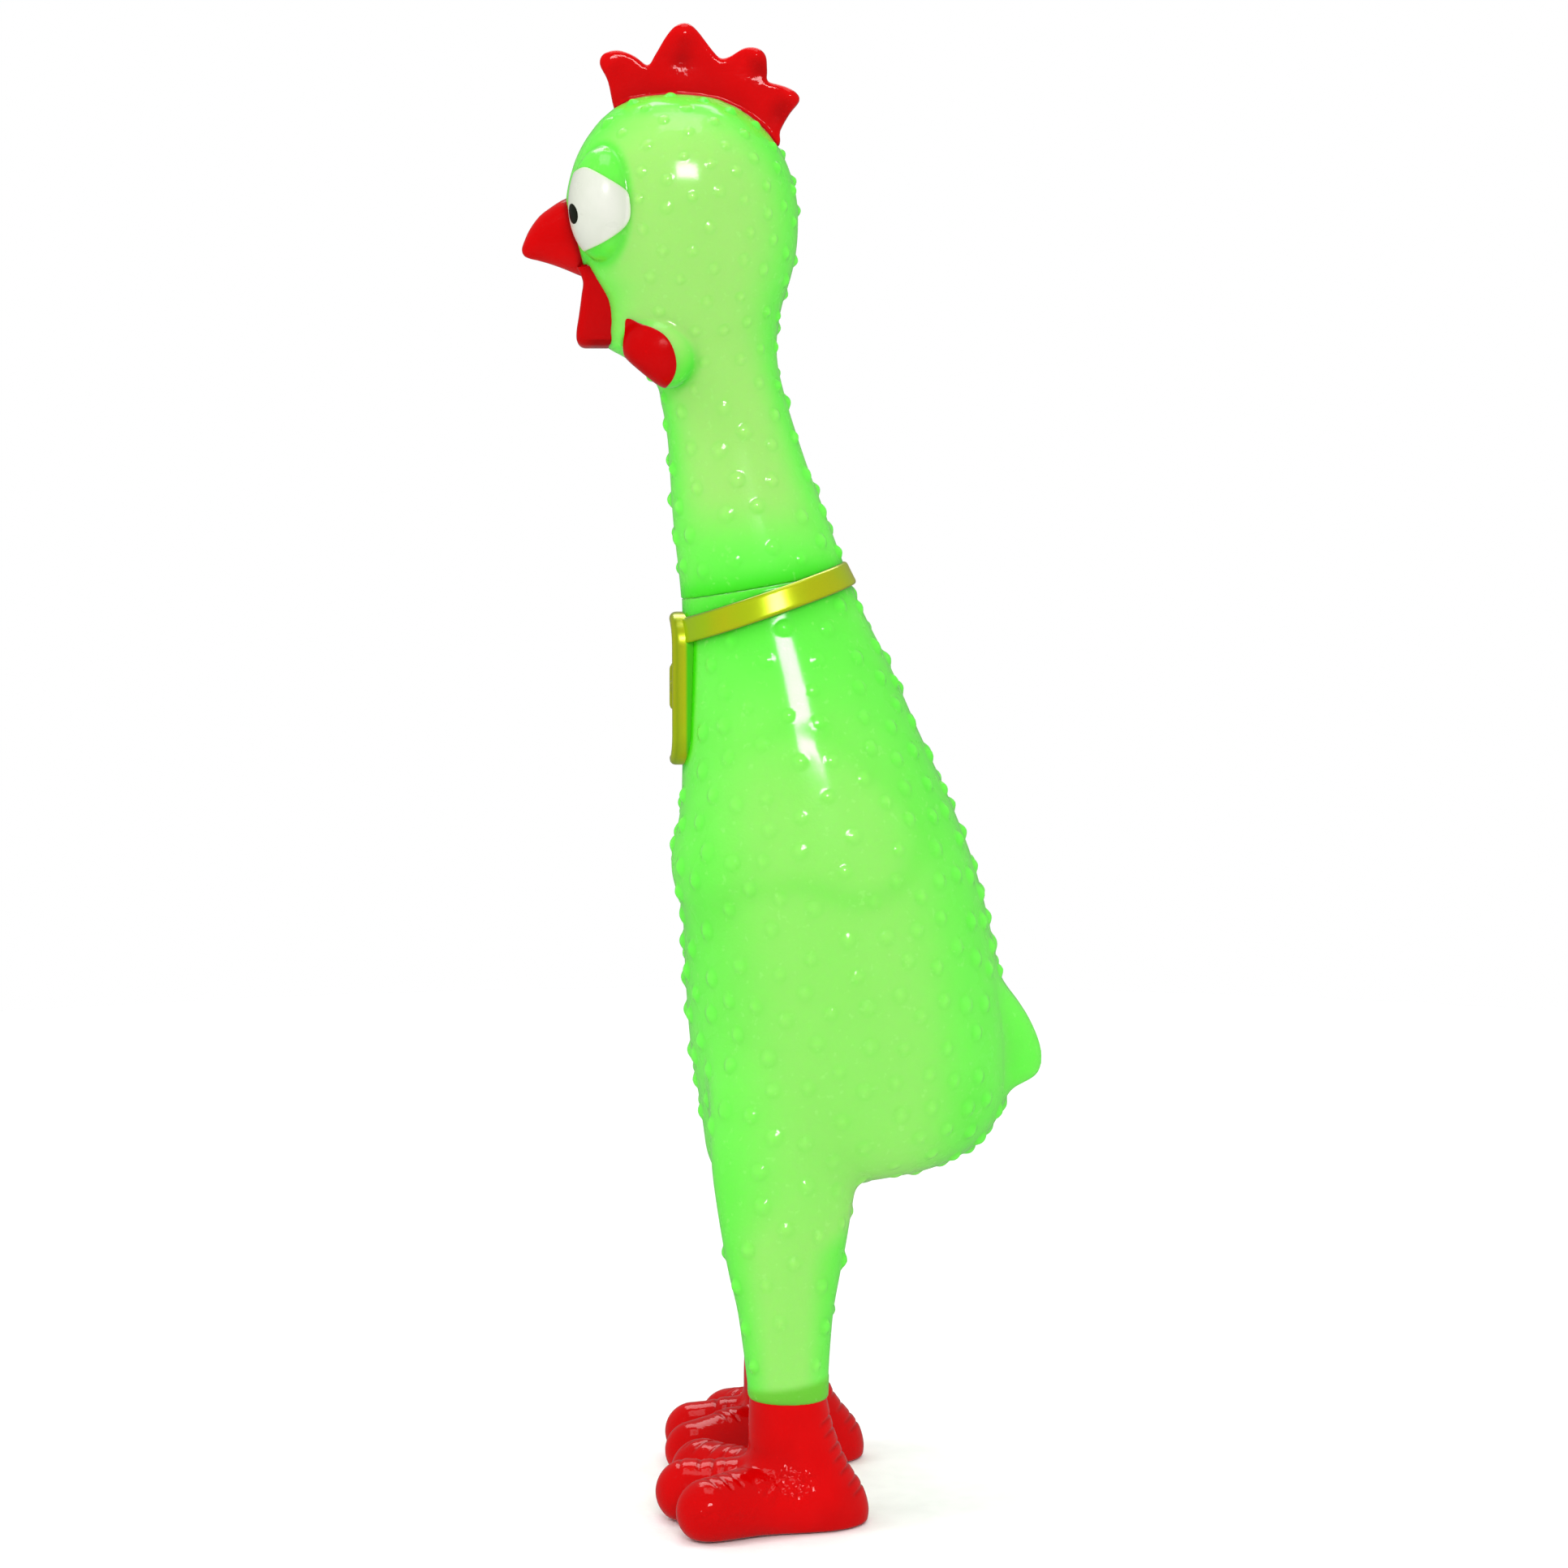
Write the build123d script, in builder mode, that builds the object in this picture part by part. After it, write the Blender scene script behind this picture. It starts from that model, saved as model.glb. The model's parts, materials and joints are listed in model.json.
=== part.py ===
"""Rubber chicken: a hollow soft-rubber squeaking toy that stands on its own two feet.

Millimetres. +Z is up and the chicken faces -X, so its left side is -Y. The origin is on the
floor, at the middle of the toy's bounding box. The two big mouldings are the body (torso,
wings, tail and legs) and the head with its neck, which plugs into the body's collar under a
moulded gold ribbon. The feet, comb, beak and wattles are red, and a reed squeaker is pressed
into the throat.
"""

from build123d import *
from math import atan2, cos, degrees, radians, sin
import os

os.makedirs("parts", exist_ok=True)

# ---------------------------------------------------------------- driving dimensions
wall = 2.4               # thickness of the moulded rubber
air_gap = 0.4            # between curved faces of bodies that move against each other

seam_x = -4.9            # centre of the seam between body and neck
seam_z = 200.2
seam_lean = 10.0         # degrees that the neck leans forward at the seam
seam_radius = 17.3
seam_gap = 0.2           # between the two ends at the seam
collar_lip = 0.2         # how far the collar stands out past the neck at the seam
spigot_radius = 14.0     # neck spigot in the body's collar
spigot_clearance = 0.3
spigot_length = 6.0
spigot_end_room = 2.0    # free depth of the collar's bore below the spigot

bend_x = -11.9           # middle of the neck, about which it bends
bend_z = 235.0
bend_lean = 13.0
neck_ball = 10.2         # rounded end that the head's socket turns on
neck_skirt = 3.0         # how far the socket reaches below the bend
neck_stem = 7.0
neck_airway = 5.0
neck_bowl = 13.8

ankle_x = 0.9            # middle of the ankle, about which the leg bends
ankle_y = 26.3
ankle_z = 31.0
ankle_radius = 8.2
ankle_ball = 5.9
ankle_skirt = 4.0
ankle_stem = 3.2
ankle_bowl = 9.5

tail_half_width = 9.0
tail_corner = 2.2        # radius at the fin's corners, seen from the side
tail_edge = 5.0          # radius that takes the fin down to a thin edge
tail_root_x = 45.0       # the fin is buried in the torso in front of this

ribbon_front_z = 190.6   # middle of the band at the chest
ribbon_back_z = 202.8    # middle of the band at the back
ribbon_front_x = -21.0
ribbon_back_x = 14.4
ribbon_width = 5.3
ribbon_proud = 1.6

medal_width = 19.0
medal_height = 33.0
medal_middle_z = 177.6
medal_front_x = -24.6
medal_depth = 6.5
medal_corner = 7.0
medal_rim = 1.6
medal_relief = 0.8
medal_star = 5.6         # from the star's middle to its points
medal_star_waist = 2.35  # from the star's middle to its inner corners

comb_half_width = 3.4

brow_center = (-34.0, 11.4, 284.6)
brow_radii = (9.6, 8.3, 9.7)
eye_center = (-36.5, 11.5, 280.6)
eye_radii = (9.3, 8.0, 9.5)
pupil_center = (-44.7, 13.0, 279.9)
pupil_radii = (1.9, 2.4, 2.6)
lobe_center = (-26.4, 11.6, 251.7)
lobe_radii = (7.8, 5.8, 7.4)
wattle_center = (-28.4, 12.2, 250.4)
wattle_radii = (5.8, 6.2, 6.0)
scoop_center = (-46.5, 0, 260.5)      # hollow in the front of the lower beak
scoop_radii = (4.6, 7.2, 8.0)

toe_radius = 6.7
toe_height = 6.2         # of the toe's middle above the floor
instep_inward = 0.8      # the instep's middle, measured from the ankle's towards the other foot
instep_height = 1.0
instep_radii = (11.0, 11.5, 14.0)

throat_x = -41.4         # mouth of the throat, where the squeaker goes in
throat_z = 259.4
throat_depth = 12.0      # of the hole through the front of the head
bush_radius = 5.4
bush_length = 11.4
bush_flange_x = -32.0    # soft lip behind the front of the head
bush_lip = 1.2
squeaker_radius = 4.4
squeaker_bore = 3.5
squeaker_length = 20.0
squeaker_inset = 0.8     # from the mouth of the bush to the end of the tube
holder_plug = 5.0        # length of the holder inside the tube
holder_proud = 0.5       # how far the plug stands out of the tube
holder_beyond = 0.6      # of the holder past the tip of the reed
holder_end_wall = 1.0
cutter_length = 30.0     # of a block that takes half of the holder away, longer than the holder
cutter_width = 20.0
reed_width = 4.6
reed_thickness = 0.3
reed_length = 9.6
reed_clear = 0.3         # from the plug's face to the line that the reed bends about
reed_room = 0.9          # depth of the open channel's edge below the reed's middle
channel_width = 2.6
channel_depth = 1.8


# ---------------------------------------------------------------- helpers
def leaning_plane(x, z, lean, y=0.0):
    """A level plane at (x, y, z), tipped forward by lean degrees."""
    tip = radians(lean)
    return Plane(origin=(x, y, z), x_dir=(cos(tip), 0, sin(tip)), z_dir=(-sin(tip), 0, cos(tip)))


def rings(stations, grow=0.0):
    """Elliptical sections of a limb: each station is (x, y, z, lean, radius x, radius y)."""
    faces = []
    for x, y, z, lean, radius_x, radius_y in stations:
        with BuildSketch(leaning_plane(x, z, lean, y)) as ring:
            Ellipse(radius_x + grow, radius_y + grow)
        faces.append(ring.sketch.faces()[0])
    return faces


def upright_rings(sections):
    """Elliptical sections across X: each is (x, z, radius z, radius y)."""
    faces = []
    for x, z, radius_z, radius_y in sections:
        with BuildSketch(Plane(origin=(x, 0, z), x_dir=(0, 1, 0), z_dir=(1, 0, 0))) as ring:
            Ellipse(radius_y, radius_z)
        faces.append(ring.sketch.faces()[0])
    return faces


def limb(stations, grow=0.0):
    """A solid through the sections of a limb."""
    with BuildPart() as solid:
        loft(sections=rings(stations, grow))
    return solid.part


def ellipsoid(center, radii):
    """A solid egg with its axes along X, Y and Z."""
    with BuildPart() as egg:
        Sphere(1)
        scale(by=radii)
    return egg.part.moved(Location(center))


def on_side(place, side):
    """A place given for the right side, moved to the left one if side is -1."""
    return (place[0], side * place[1], place[2])


def mirrored(stations):
    """The same limb on the other side of the toy."""
    return [(x, -y, z, lean, rx, ry) for x, y, z, lean, rx, ry in stations]


# ---------------------------------------------------------------- shape of the torso and legs
# Each station is (x, y, z, lean, radius x, radius y), from the lowest to the highest.
torso_stations = [
    (15.0, 0, 71.0, 0, 15.0, 13.0),
    (15.5, 0, 76.0, 0, 24.5, 22.5),
    (15.8, 0, 84.0, 0, 31.2, 29.0),
    (14.9, 0, 95.0, 0, 34.6, 32.0),
    (12.9, 0, 115.0, 0, 34.2, 32.8),
    (9.3, 0, 140.0, 0, 31.7, 31.2),
    (5.2, 0, 161.0, 0, 27.6, 27.2),
    (0.4, 0, 182.5, 3, 22.4, 21.8),
    (-2.9, 0, 195.0, 8, 18.9, 18.6),
    (seam_x, 0, seam_z, seam_lean, seam_radius + collar_lip, seam_radius + collar_lip),
    (-6.1, 0, 206.2, seam_lean, 16.6, 16.6),
]
torso_hollow_floor = (15.0, 0, 74.0, 0, 17.4, 15.4)
torso_hollow_top = (-3.5, 0, 193.6, 9, 18.0, 18.0)
torso_hollow = [torso_hollow_floor, *torso_stations[2:8], torso_hollow_top]
leg_stations = [
    (ankle_x, ankle_y, ankle_z - ankle_skirt, 0, ankle_radius, ankle_radius),
    (0.4, 25.6, 36.0, 0, 8.6, 8.7),
    (0.1, 24.2, 46.0, 0, 9.8, 10.0),
    (0.0, 21.8, 60.0, 0, 12.7, 12.0),
    (0.2, 18.6, 74.0, 0, 15.2, 13.4),
    (0.8, 15.6, 92.0, 0, 18.4, 14.2),
    (5.0, 12.0, 112.0, 0, 16.0, 12.0),
]
leg_hollow_floor = (0.5, 25.7, 34.6, 0, 8.3, 8.4)
leg_hollow_top = (1.2, 16.0, 86.0, 0, 16.9, 14.4)
leg_hollow = [leg_hollow_floor, *leg_stations[2:5], leg_hollow_top]

# ---------------------------------------------------------------- shape of the neck and head
neck_root = [
    (seam_x, 0, seam_z, seam_lean, seam_radius, seam_radius),
    (-6.3, 0, 208.2, seam_lean, 16.5, 16.5),
    (-8.2, 0, 218.0, 12, 15.0, 15.0),
    (-9.6, 0, 225.0, 13, 13.9, 13.9),
    (bend_x, 0, bend_z, bend_lean, 12.9, 12.9),
]
neck_cavity = [
    (seam_x, 0, seam_z, seam_lean, 11.6, 11.6),
    (-6.3, 0, 208.2, seam_lean, 13.9, 13.9),
    (-8.2, 0, 218.0, 12, 12.5, 12.5),
    (bend_x, 0, bend_z, bend_lean, 11.0, 11.0),
]
head_stations = [
    (-11.0, 0, 231.0, bend_lean, 13.1, 13.1),
    (bend_x, 0, bend_z, bend_lean, 12.9, 12.9),
    (-13.2, 0, 240.0, 12, 12.8, 12.8),
    (-15.2, 0, 246.0, 6, 13.6, 13.4),
    (-19.3, 0, 253.0, 0, 17.4, 15.6),
    (-20.6, 0, 260.0, 0, 19.6, 18.2),
    (-21.0, 0, 267.0, 0, 22.2, 20.4),
    (-21.2, 0, 275.0, 0, 24.0, 21.8),
    (-21.3, 0, 283.0, 0, 24.0, 21.9),
    (-21.4, 0, 290.0, 0, 22.2, 20.4),
    (-21.4, 0, 296.0, 0, 18.9, 17.4),
    (-21.2, 0, 301.0, 0, 13.6, 12.6),
    (-21.0, 0, 304.3, 0, 5.5, 5.0),
]
head_cavity = [
    (-13.3, 0, 241.0, 12, 9.8, 9.8),
    (-15.2, 0, 246.0, 6, 11.0, 10.8),
    (-18.6, 0, 253.0, 0, 14.2, 13.0),
    (-20.2, 0, 260.0, 0, 16.8, 15.6),
    (-21.2, 0, 275.0, 0, 21.4, 19.2),
    (-21.3, 0, 283.0, 0, 21.4, 19.3),
    (-21.4, 0, 290.0, 0, 19.4, 17.6),
    (-21.2, 0, 298.0, 0, 13.0, 12.0),
    (-21.0, 0, 301.4, 0, 6.0, 5.5),
]

seam_plane = leaning_plane(seam_x, seam_z, seam_lean)
bend_plane = leaning_plane(bend_x, bend_z, bend_lean)
torso_solid = limb(torso_stations)
torso_grown = limb(torso_stations, grow=ribbon_proud)

# ---------------------------------------------------------------- body shell
# Outlines seen from the side are (x, z).
wing_outline = [
    (4.0, 170.0),
    (14.5, 164.0),
    (28.0, 151.0),
    (24.5, 139.0),
    (15.0, 134.0),
    (1.0, 141.0),
    (-20.5, 134.0),
    (-22.0, 146.0),
    (-9.0, 165.0),
]
tail_outline = [
    (38.0, 119.0),
    (48.4, 112.5),
    (54.0, 105.0),
    (56.4, 96.4),
    (55.0, 92.6),
    (50.0, 89.6),
    (38.0, 87.0),
]

with BuildPart() as wings:
    add(torso_grown)
    with BuildSketch(Plane.XZ) as wing_face:
        with BuildLine():
            Spline(*wing_outline, periodic=True)
        make_face()
    extrude(wing_face.sketch, amount=2 * tail_root_x, both=True, mode=Mode.INTERSECT)

with BuildPart() as tail:
    with BuildSketch(Plane.XZ):
        with BuildLine():
            Polyline(*tail_outline, close=True)
        make_face()
        fillet(vertices().filter_by(lambda v: v.X > tail_root_x), radius=tail_corner)
    extrude(amount=tail_half_width, both=True)
    rim = faces().filter_by(Axis.Y).edges().filter_by(lambda e: e.center().X > tail_root_x + 1)
    fillet(rim, radius=tail_edge)

with BuildPart() as body_cavity:
    add(limb(torso_hollow, grow=-wall))
    add(limb(leg_hollow, grow=-wall))
    add(limb(mirrored(leg_hollow), grow=-wall))

with BuildPart() as body_shell:
    add(torso_solid)
    split(bisect_by=seam_plane.offset(-seam_gap), keep=Keep.BOTTOM)
    add(limb(leg_stations))
    add(limb(mirrored(leg_stations)))
    add(wings.part)
    add(tail.part)
    add(body_cavity.part, mode=Mode.SUBTRACT)
    with BuildSketch(seam_plane) as collar_bore:
        Circle(spigot_radius + spigot_clearance)
    extrude(
        collar_bore.sketch, amount=-(spigot_length + spigot_end_room), mode=Mode.SUBTRACT
    )
    with Locations((ankle_x, ankle_y, ankle_z), (ankle_x, -ankle_y, ankle_z)):
        Sphere(ankle_ball + air_gap, mode=Mode.SUBTRACT)
body_shell.part.label = "body_shell"
export_step(body_shell.part, "parts/body_shell.step")

# ---------------------------------------------------------------- neck shell
with BuildPart() as neck_hollow:
    add(limb(neck_cavity))
    with Locations(bend_plane.location):
        Sphere(neck_bowl + wall, mode=Mode.SUBTRACT)

with BuildPart() as neck_shell:
    add(limb(neck_root))
    with Locations(bend_plane.location):
        Sphere(neck_bowl, mode=Mode.SUBTRACT)
    with BuildSketch(seam_plane) as spigot:
        Circle(spigot_radius)
    extrude(spigot.sketch, amount=-spigot_length)
    with BuildSketch(seam_plane) as spigot_hole:
        Circle(spigot_radius - wall)
    extrude(spigot_hole.sketch, amount=-spigot_length, mode=Mode.SUBTRACT)
    add(neck_hollow.part, mode=Mode.SUBTRACT)
    with Locations(bend_plane.location):
        Sphere(neck_ball)
    with BuildSketch(bend_plane) as stem:
        Circle(neck_stem)
    extrude(stem.sketch, amount=-(neck_bowl + wall / 2))
    with BuildSketch(bend_plane) as airway:
        Circle(neck_airway)
    extrude(airway.sketch, amount=neck_bowl + 2 * wall, both=True, mode=Mode.SUBTRACT)
neck_shell.part.label = "neck_shell"
export_step(neck_shell.part, "parts/neck_shell.step")

# ---------------------------------------------------------------- head shell
with BuildPart() as head_solid:
    add(limb(head_stations))
    for side in (-1, 1):
        add(ellipsoid(on_side(brow_center, side), brow_radii))
        add(ellipsoid(on_side(lobe_center, side), lobe_radii))

with BuildPart() as head_shell:
    add(head_solid.part)
    split(bisect_by=bend_plane.offset(-neck_skirt), keep=Keep.TOP)
    with Locations(bend_plane.location):
        Sphere(neck_ball + air_gap, mode=Mode.SUBTRACT)
    add(limb(head_cavity), mode=Mode.SUBTRACT)
    with BuildSketch(Plane.YZ.offset(throat_x)) as throat:
        with Locations((0, throat_z)):
            Circle(bush_radius)
    extrude(throat.sketch, amount=throat_depth, both=True, mode=Mode.SUBTRACT)
head_shell.part.label = "head_shell"
export_step(head_shell.part, "parts/head_shell.step")

# ---------------------------------------------------------------- comb
comb_outline = [
    (-33.0, 290.0),
    (-37.0, 302.6),
    (-39.9, 311.5),
    (-38.4, 314.0),
    (-35.0, 313.6),
    (-29.0, 311.2),
    (-23.6, 318.6),
    (-21.2, 320.0),
    (-18.8, 318.4),
    (-13.9, 312.4),
    (-8.5, 314.6),
    (-5.0, 314.8),
    (-3.8, 312.0),
    (-3.6, 307.8),
    (0.6, 306.4),
    (3.4, 304.6),
    (2.8, 302.0),
    (-1.6, 295.0),
    (-8.0, 286.0),
]

with BuildPart() as comb:
    with BuildSketch(Plane.XZ):
        with BuildLine():
            Polyline(*comb_outline, close=True)
        make_face()
    extrude(amount=comb_half_width, both=True)
    add(head_solid.part, mode=Mode.SUBTRACT)
comb.part.label = "comb"
export_step(comb.part, "parts/comb.step")

# ---------------------------------------------------------------- beak
beak_sections = [          # x, z, radius z, radius y, from the root to the tip
    (-37.0, 275.0, 9.5, 11.0),
    (-44.0, 274.6, 8.8, 9.2),
    (-49.0, 274.2, 6.6, 6.6),
    (-53.5, 273.4, 4.0, 4.0),
    (-56.4, 272.0, 1.6, 1.8),
]
jaw_stations = [
    (-40.6, 0, 265.6, 0, 3.9, 10.0),
    (-40.9, 0, 259.0, 0, 3.7, 9.2),
    (-41.2, 0, 251.4, 0, 2.9, 6.4),
]

with BuildPart() as upper_beak:
    loft(sections=upright_rings(beak_sections))
    add(head_solid.part, mode=Mode.SUBTRACT)
upper_beak.part.label = "upper_beak"
export_step(upper_beak.part, "parts/upper_beak.step")

with BuildPart() as lower_beak:
    loft(sections=rings(jaw_stations))
    add(head_solid.part, mode=Mode.SUBTRACT)
    add(upper_beak.part, mode=Mode.SUBTRACT)
    add(ellipsoid(scoop_center, scoop_radii), mode=Mode.SUBTRACT)
    with BuildSketch(Plane.YZ.offset(throat_x)) as jaw_hole:
        with Locations((0, throat_z)):
            Circle(bush_radius)
    extrude(jaw_hole.sketch, amount=throat_depth, both=True, mode=Mode.SUBTRACT)
lower_beak.part.label = "lower_beak"
export_step(lower_beak.part, "parts/lower_beak.step")

# ---------------------------------------------------------------- eyes and wattles
for side, name in ((-1, "left"), (1, "right")):
    eye_egg = ellipsoid(on_side(eye_center, side), eye_radii)

    with BuildPart() as eye:
        add(eye_egg)
        add(head_solid.part, mode=Mode.SUBTRACT)
        add(upper_beak.part, mode=Mode.SUBTRACT)
    eye.part.label = f"{name}_eye"
    export_step(eye.part, f"parts/{name}_eye.step")

    with BuildPart() as pupil:
        add(ellipsoid(on_side(pupil_center, side), pupil_radii))
        add(eye_egg, mode=Mode.SUBTRACT)
        add(head_solid.part, mode=Mode.SUBTRACT)
    pupil.part.label = f"{name}_pupil"
    export_step(pupil.part, f"parts/{name}_pupil.step")

    with BuildPart() as wattle:
        add(ellipsoid(on_side(wattle_center, side), wattle_radii))
        add(head_solid.part, mode=Mode.SUBTRACT)
    wattle.part.label = f"{name}_wattle"
    export_step(wattle.part, f"parts/{name}_wattle.step")

# ---------------------------------------------------------------- ribbon and medal
ribbon_run = ribbon_back_x - ribbon_front_x
ribbon_rise = ribbon_back_z - ribbon_front_z
ribbon_lean = degrees(atan2(ribbon_rise, ribbon_run))
ribbon_plane = leaning_plane(
    (ribbon_front_x + ribbon_back_x) / 2, (ribbon_front_z + ribbon_back_z) / 2, ribbon_lean
)

with BuildPart() as ribbon:
    add(torso_grown)
    split(bisect_by=ribbon_plane.offset(ribbon_width / 2), keep=Keep.BOTTOM)
    split(bisect_by=ribbon_plane.offset(-ribbon_width / 2), keep=Keep.TOP)
    add(torso_solid, mode=Mode.SUBTRACT)
    add(limb(neck_root, grow=air_gap), mode=Mode.SUBTRACT)
ribbon.part.label = "ribbon"
export_step(ribbon.part, "parts/ribbon.step")

medal_plane = Plane(origin=(medal_front_x, 0, medal_middle_z), x_dir=(0, -1, 0), z_dir=(-1, 0, 0))
star_points = []
for turn in range(10):
    reach = medal_star if turn % 2 == 0 else medal_star_waist
    angle = radians(36 * turn)
    star_points.append((reach * sin(angle), reach * cos(angle)))

with BuildPart() as medal:
    with BuildSketch(medal_plane) as plaque:
        RectangleRounded(medal_width, medal_height, medal_corner)
    extrude(plaque.sketch, amount=-medal_depth)
    with BuildSketch(medal_plane) as field:
        RectangleRounded(
            medal_width - 2 * medal_rim, medal_height - 2 * medal_rim, medal_corner - medal_rim
        )
        Polygon(*star_points, align=None, mode=Mode.SUBTRACT)
    extrude(field.sketch, amount=-medal_relief, mode=Mode.SUBTRACT)
    add(torso_solid, mode=Mode.SUBTRACT)
    add(ribbon.part, mode=Mode.SUBTRACT)
medal.part.label = "medal"
export_step(medal.part, "parts/medal.step")

# ---------------------------------------------------------------- feet
ankle_sections = [         # x, z, radius x, radius y
    (4.5, 0.0, 11.0, 8.5),
    (4.8, 4.0, 12.3, 9.6),
    (4.0, 8.0, 11.5, 9.5),
    (3.0, 12.0, 10.4, 9.2),
    (1.9, 18.0, 9.2, 8.7),
    (ankle_x, ankle_z - ankle_skirt, ankle_radius, ankle_radius),
]

# Each toe's tip is (forward, outward) from the ankle's middle.
for side, name, toe_tips in (
    (-1, "left", [(16.5, 13.5), (21.3, -1.8), (18.4, -18.3)]),
    (1, "right", [(13.3, 13.5), (21.3, 1.2), (20.8, -15.4)]),
):
    middle_y = side * ankle_y
    pivot = (ankle_x, middle_y, ankle_z)
    with BuildPart() as foot:
        loft(sections=rings([(x, middle_y, z, 0, rx, ry) for x, z, rx, ry in ankle_sections]))
        instep = (ankle_x, middle_y - side * instep_inward, instep_height)
        add(ellipsoid(instep, instep_radii))
        for forward, outward in toe_tips:
            tip = Vector(ankle_x - forward, middle_y + side * outward, toe_height)
            root = Vector(ankle_x, middle_y, toe_height)
            with BuildSketch(Plane(origin=root, z_dir=tip - root)) as toe_ring:
                Circle(toe_radius)
            extrude(toe_ring.sketch, amount=(tip - root).length)
            with Locations(tip):
                Sphere(toe_radius)
        split(bisect_by=Plane.XY, keep=Keep.TOP)
        with Locations(pivot):
            Sphere(ankle_bowl, mode=Mode.SUBTRACT)
            Sphere(ankle_ball)
        with BuildSketch(Plane(origin=pivot)) as ankle_pin:
            Circle(ankle_stem)
        extrude(ankle_pin.sketch, amount=-(ankle_bowl + wall))
    foot.part.label = f"{name}_foot"
    export_step(foot.part, f"parts/{name}_foot.step")

# ---------------------------------------------------------------- squeaker
def rod(start_x, end_x, radius):
    """A round bar along the throat's axis."""
    with BuildPart() as bar:
        with BuildSketch(Plane.YZ.offset(start_x)):
            with Locations((0, throat_z)):
                Circle(radius)
        extrude(amount=end_x - start_x)
    return bar.part


with BuildPart() as squeaker_bush:
    add(rod(throat_x, throat_x + bush_length, bush_radius))
    add(rod(bush_flange_x, throat_x + bush_length, bush_radius + bush_lip))
    add(rod(throat_x, throat_x + bush_length, squeaker_radius), mode=Mode.SUBTRACT)
squeaker_bush.part.label = "squeaker_bush"
export_step(squeaker_bush.part, "parts/squeaker_bush.step")

tube_start = throat_x + squeaker_inset
tube_end = tube_start + squeaker_length
with BuildPart() as squeaker_tube:
    add(rod(tube_start, tube_end, squeaker_radius))
    add(rod(tube_start, tube_end, squeaker_bore), mode=Mode.SUBTRACT)
squeaker_tube.part.label = "squeaker_tube"
export_step(squeaker_tube.part, "parts/squeaker_tube.step")

# The holder plugs the tube's inner end, and its open half reaches on under the reed.
holder_start = tube_end - holder_plug
holder_face = tube_end + holder_proud
holder_end = holder_face + reed_length + holder_beyond
with BuildPart() as reed_holder:
    add(rod(holder_start, holder_end, squeaker_bore))
    with Locations((holder_start, 0, throat_z), (holder_face, 0, throat_z - reed_room)):
        Box(
            cutter_length, cutter_width, cutter_width,
            align=(Align.MIN, Align.CENTER, Align.MIN), mode=Mode.SUBTRACT,
        )
    with Locations((holder_start, 0, throat_z - reed_room)):
        Box(
            holder_end - holder_start - holder_end_wall, channel_width, channel_depth,
            align=(Align.MIN, Align.CENTER, Align.MAX), mode=Mode.SUBTRACT,
        )
reed_holder.part.label = "reed_holder"
export_step(reed_holder.part, "parts/reed_holder.step")

with BuildPart() as reed_wedge:
    add(rod(holder_start, holder_face, squeaker_bore))
    with Locations((holder_start, 0, throat_z)):
        Box(
            cutter_length, cutter_width, cutter_width,
            align=(Align.MIN, Align.CENTER, Align.MAX), mode=Mode.SUBTRACT,
        )
reed_wedge.part.label = "reed_wedge"
export_step(reed_wedge.part, "parts/reed_wedge.step")

# The reed's free blade, with a round root on the line that it bends about.
reed_root = holder_face + reed_clear
with BuildPart() as reed:
    with BuildSketch(Plane.XZ):
        with Locations((reed_root + reed_length / 2, throat_z)):
            SlotOverall(reed_length + reed_thickness, reed_thickness)
    extrude(amount=reed_width / 2, both=True)
reed.part.label = "reed"
export_step(reed.part, "parts/reed.step")
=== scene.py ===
import json
import math

import bpy
import numpy as np
import openvdb
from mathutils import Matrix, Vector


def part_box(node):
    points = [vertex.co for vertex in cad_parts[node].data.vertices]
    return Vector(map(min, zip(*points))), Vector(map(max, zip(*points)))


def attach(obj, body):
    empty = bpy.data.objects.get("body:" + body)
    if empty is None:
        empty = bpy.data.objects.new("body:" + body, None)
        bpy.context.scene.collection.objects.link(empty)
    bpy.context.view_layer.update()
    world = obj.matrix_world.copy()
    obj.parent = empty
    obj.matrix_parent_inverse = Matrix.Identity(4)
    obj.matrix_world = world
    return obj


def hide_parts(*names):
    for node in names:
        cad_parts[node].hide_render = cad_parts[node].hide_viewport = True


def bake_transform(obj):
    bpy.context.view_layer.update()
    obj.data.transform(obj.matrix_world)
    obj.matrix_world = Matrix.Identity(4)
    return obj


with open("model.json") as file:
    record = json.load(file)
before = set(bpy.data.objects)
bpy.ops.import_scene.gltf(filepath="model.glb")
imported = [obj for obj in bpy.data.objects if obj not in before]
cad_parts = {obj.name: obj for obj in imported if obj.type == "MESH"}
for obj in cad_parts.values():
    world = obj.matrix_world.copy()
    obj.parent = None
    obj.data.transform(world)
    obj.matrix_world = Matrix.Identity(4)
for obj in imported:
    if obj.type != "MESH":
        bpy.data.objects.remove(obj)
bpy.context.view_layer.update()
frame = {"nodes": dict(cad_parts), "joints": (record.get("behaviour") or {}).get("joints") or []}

MM = 0.001                      # shapes are worked out in millimetres, meshes are in metres

# Size of the cells that each mesh is made of, in millimetres.
VOXEL_BODY = 0.6
VOXEL_HEAD = 0.45
VOXEL_FOOT = 0.34
VOXEL_COMB = 0.33
VOXEL_BEAK = 0.3
VOXEL_RIBBON = 0.3
VOXEL_MEDAL = 0.28
VOXEL_PAINT = 0.25


# ---------------------------------------------------------------- places from the frame
def box_mm(node):
    """Lowest and highest corner of a CAD node, in millimetres."""
    low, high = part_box(node)
    return np.array(low) / MM, np.array(high) / MM


def joint_place(name):
    """Where a joint turns, in millimetres."""
    return next(np.array(j["pos_m"]) / MM for j in frame["joints"] if j["name"] == name)


def joint_axis(name):
    """The direction a joint turns about."""
    return next(np.array(j["axis"], float) for j in frame["joints"] if j["name"] == name)


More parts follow.
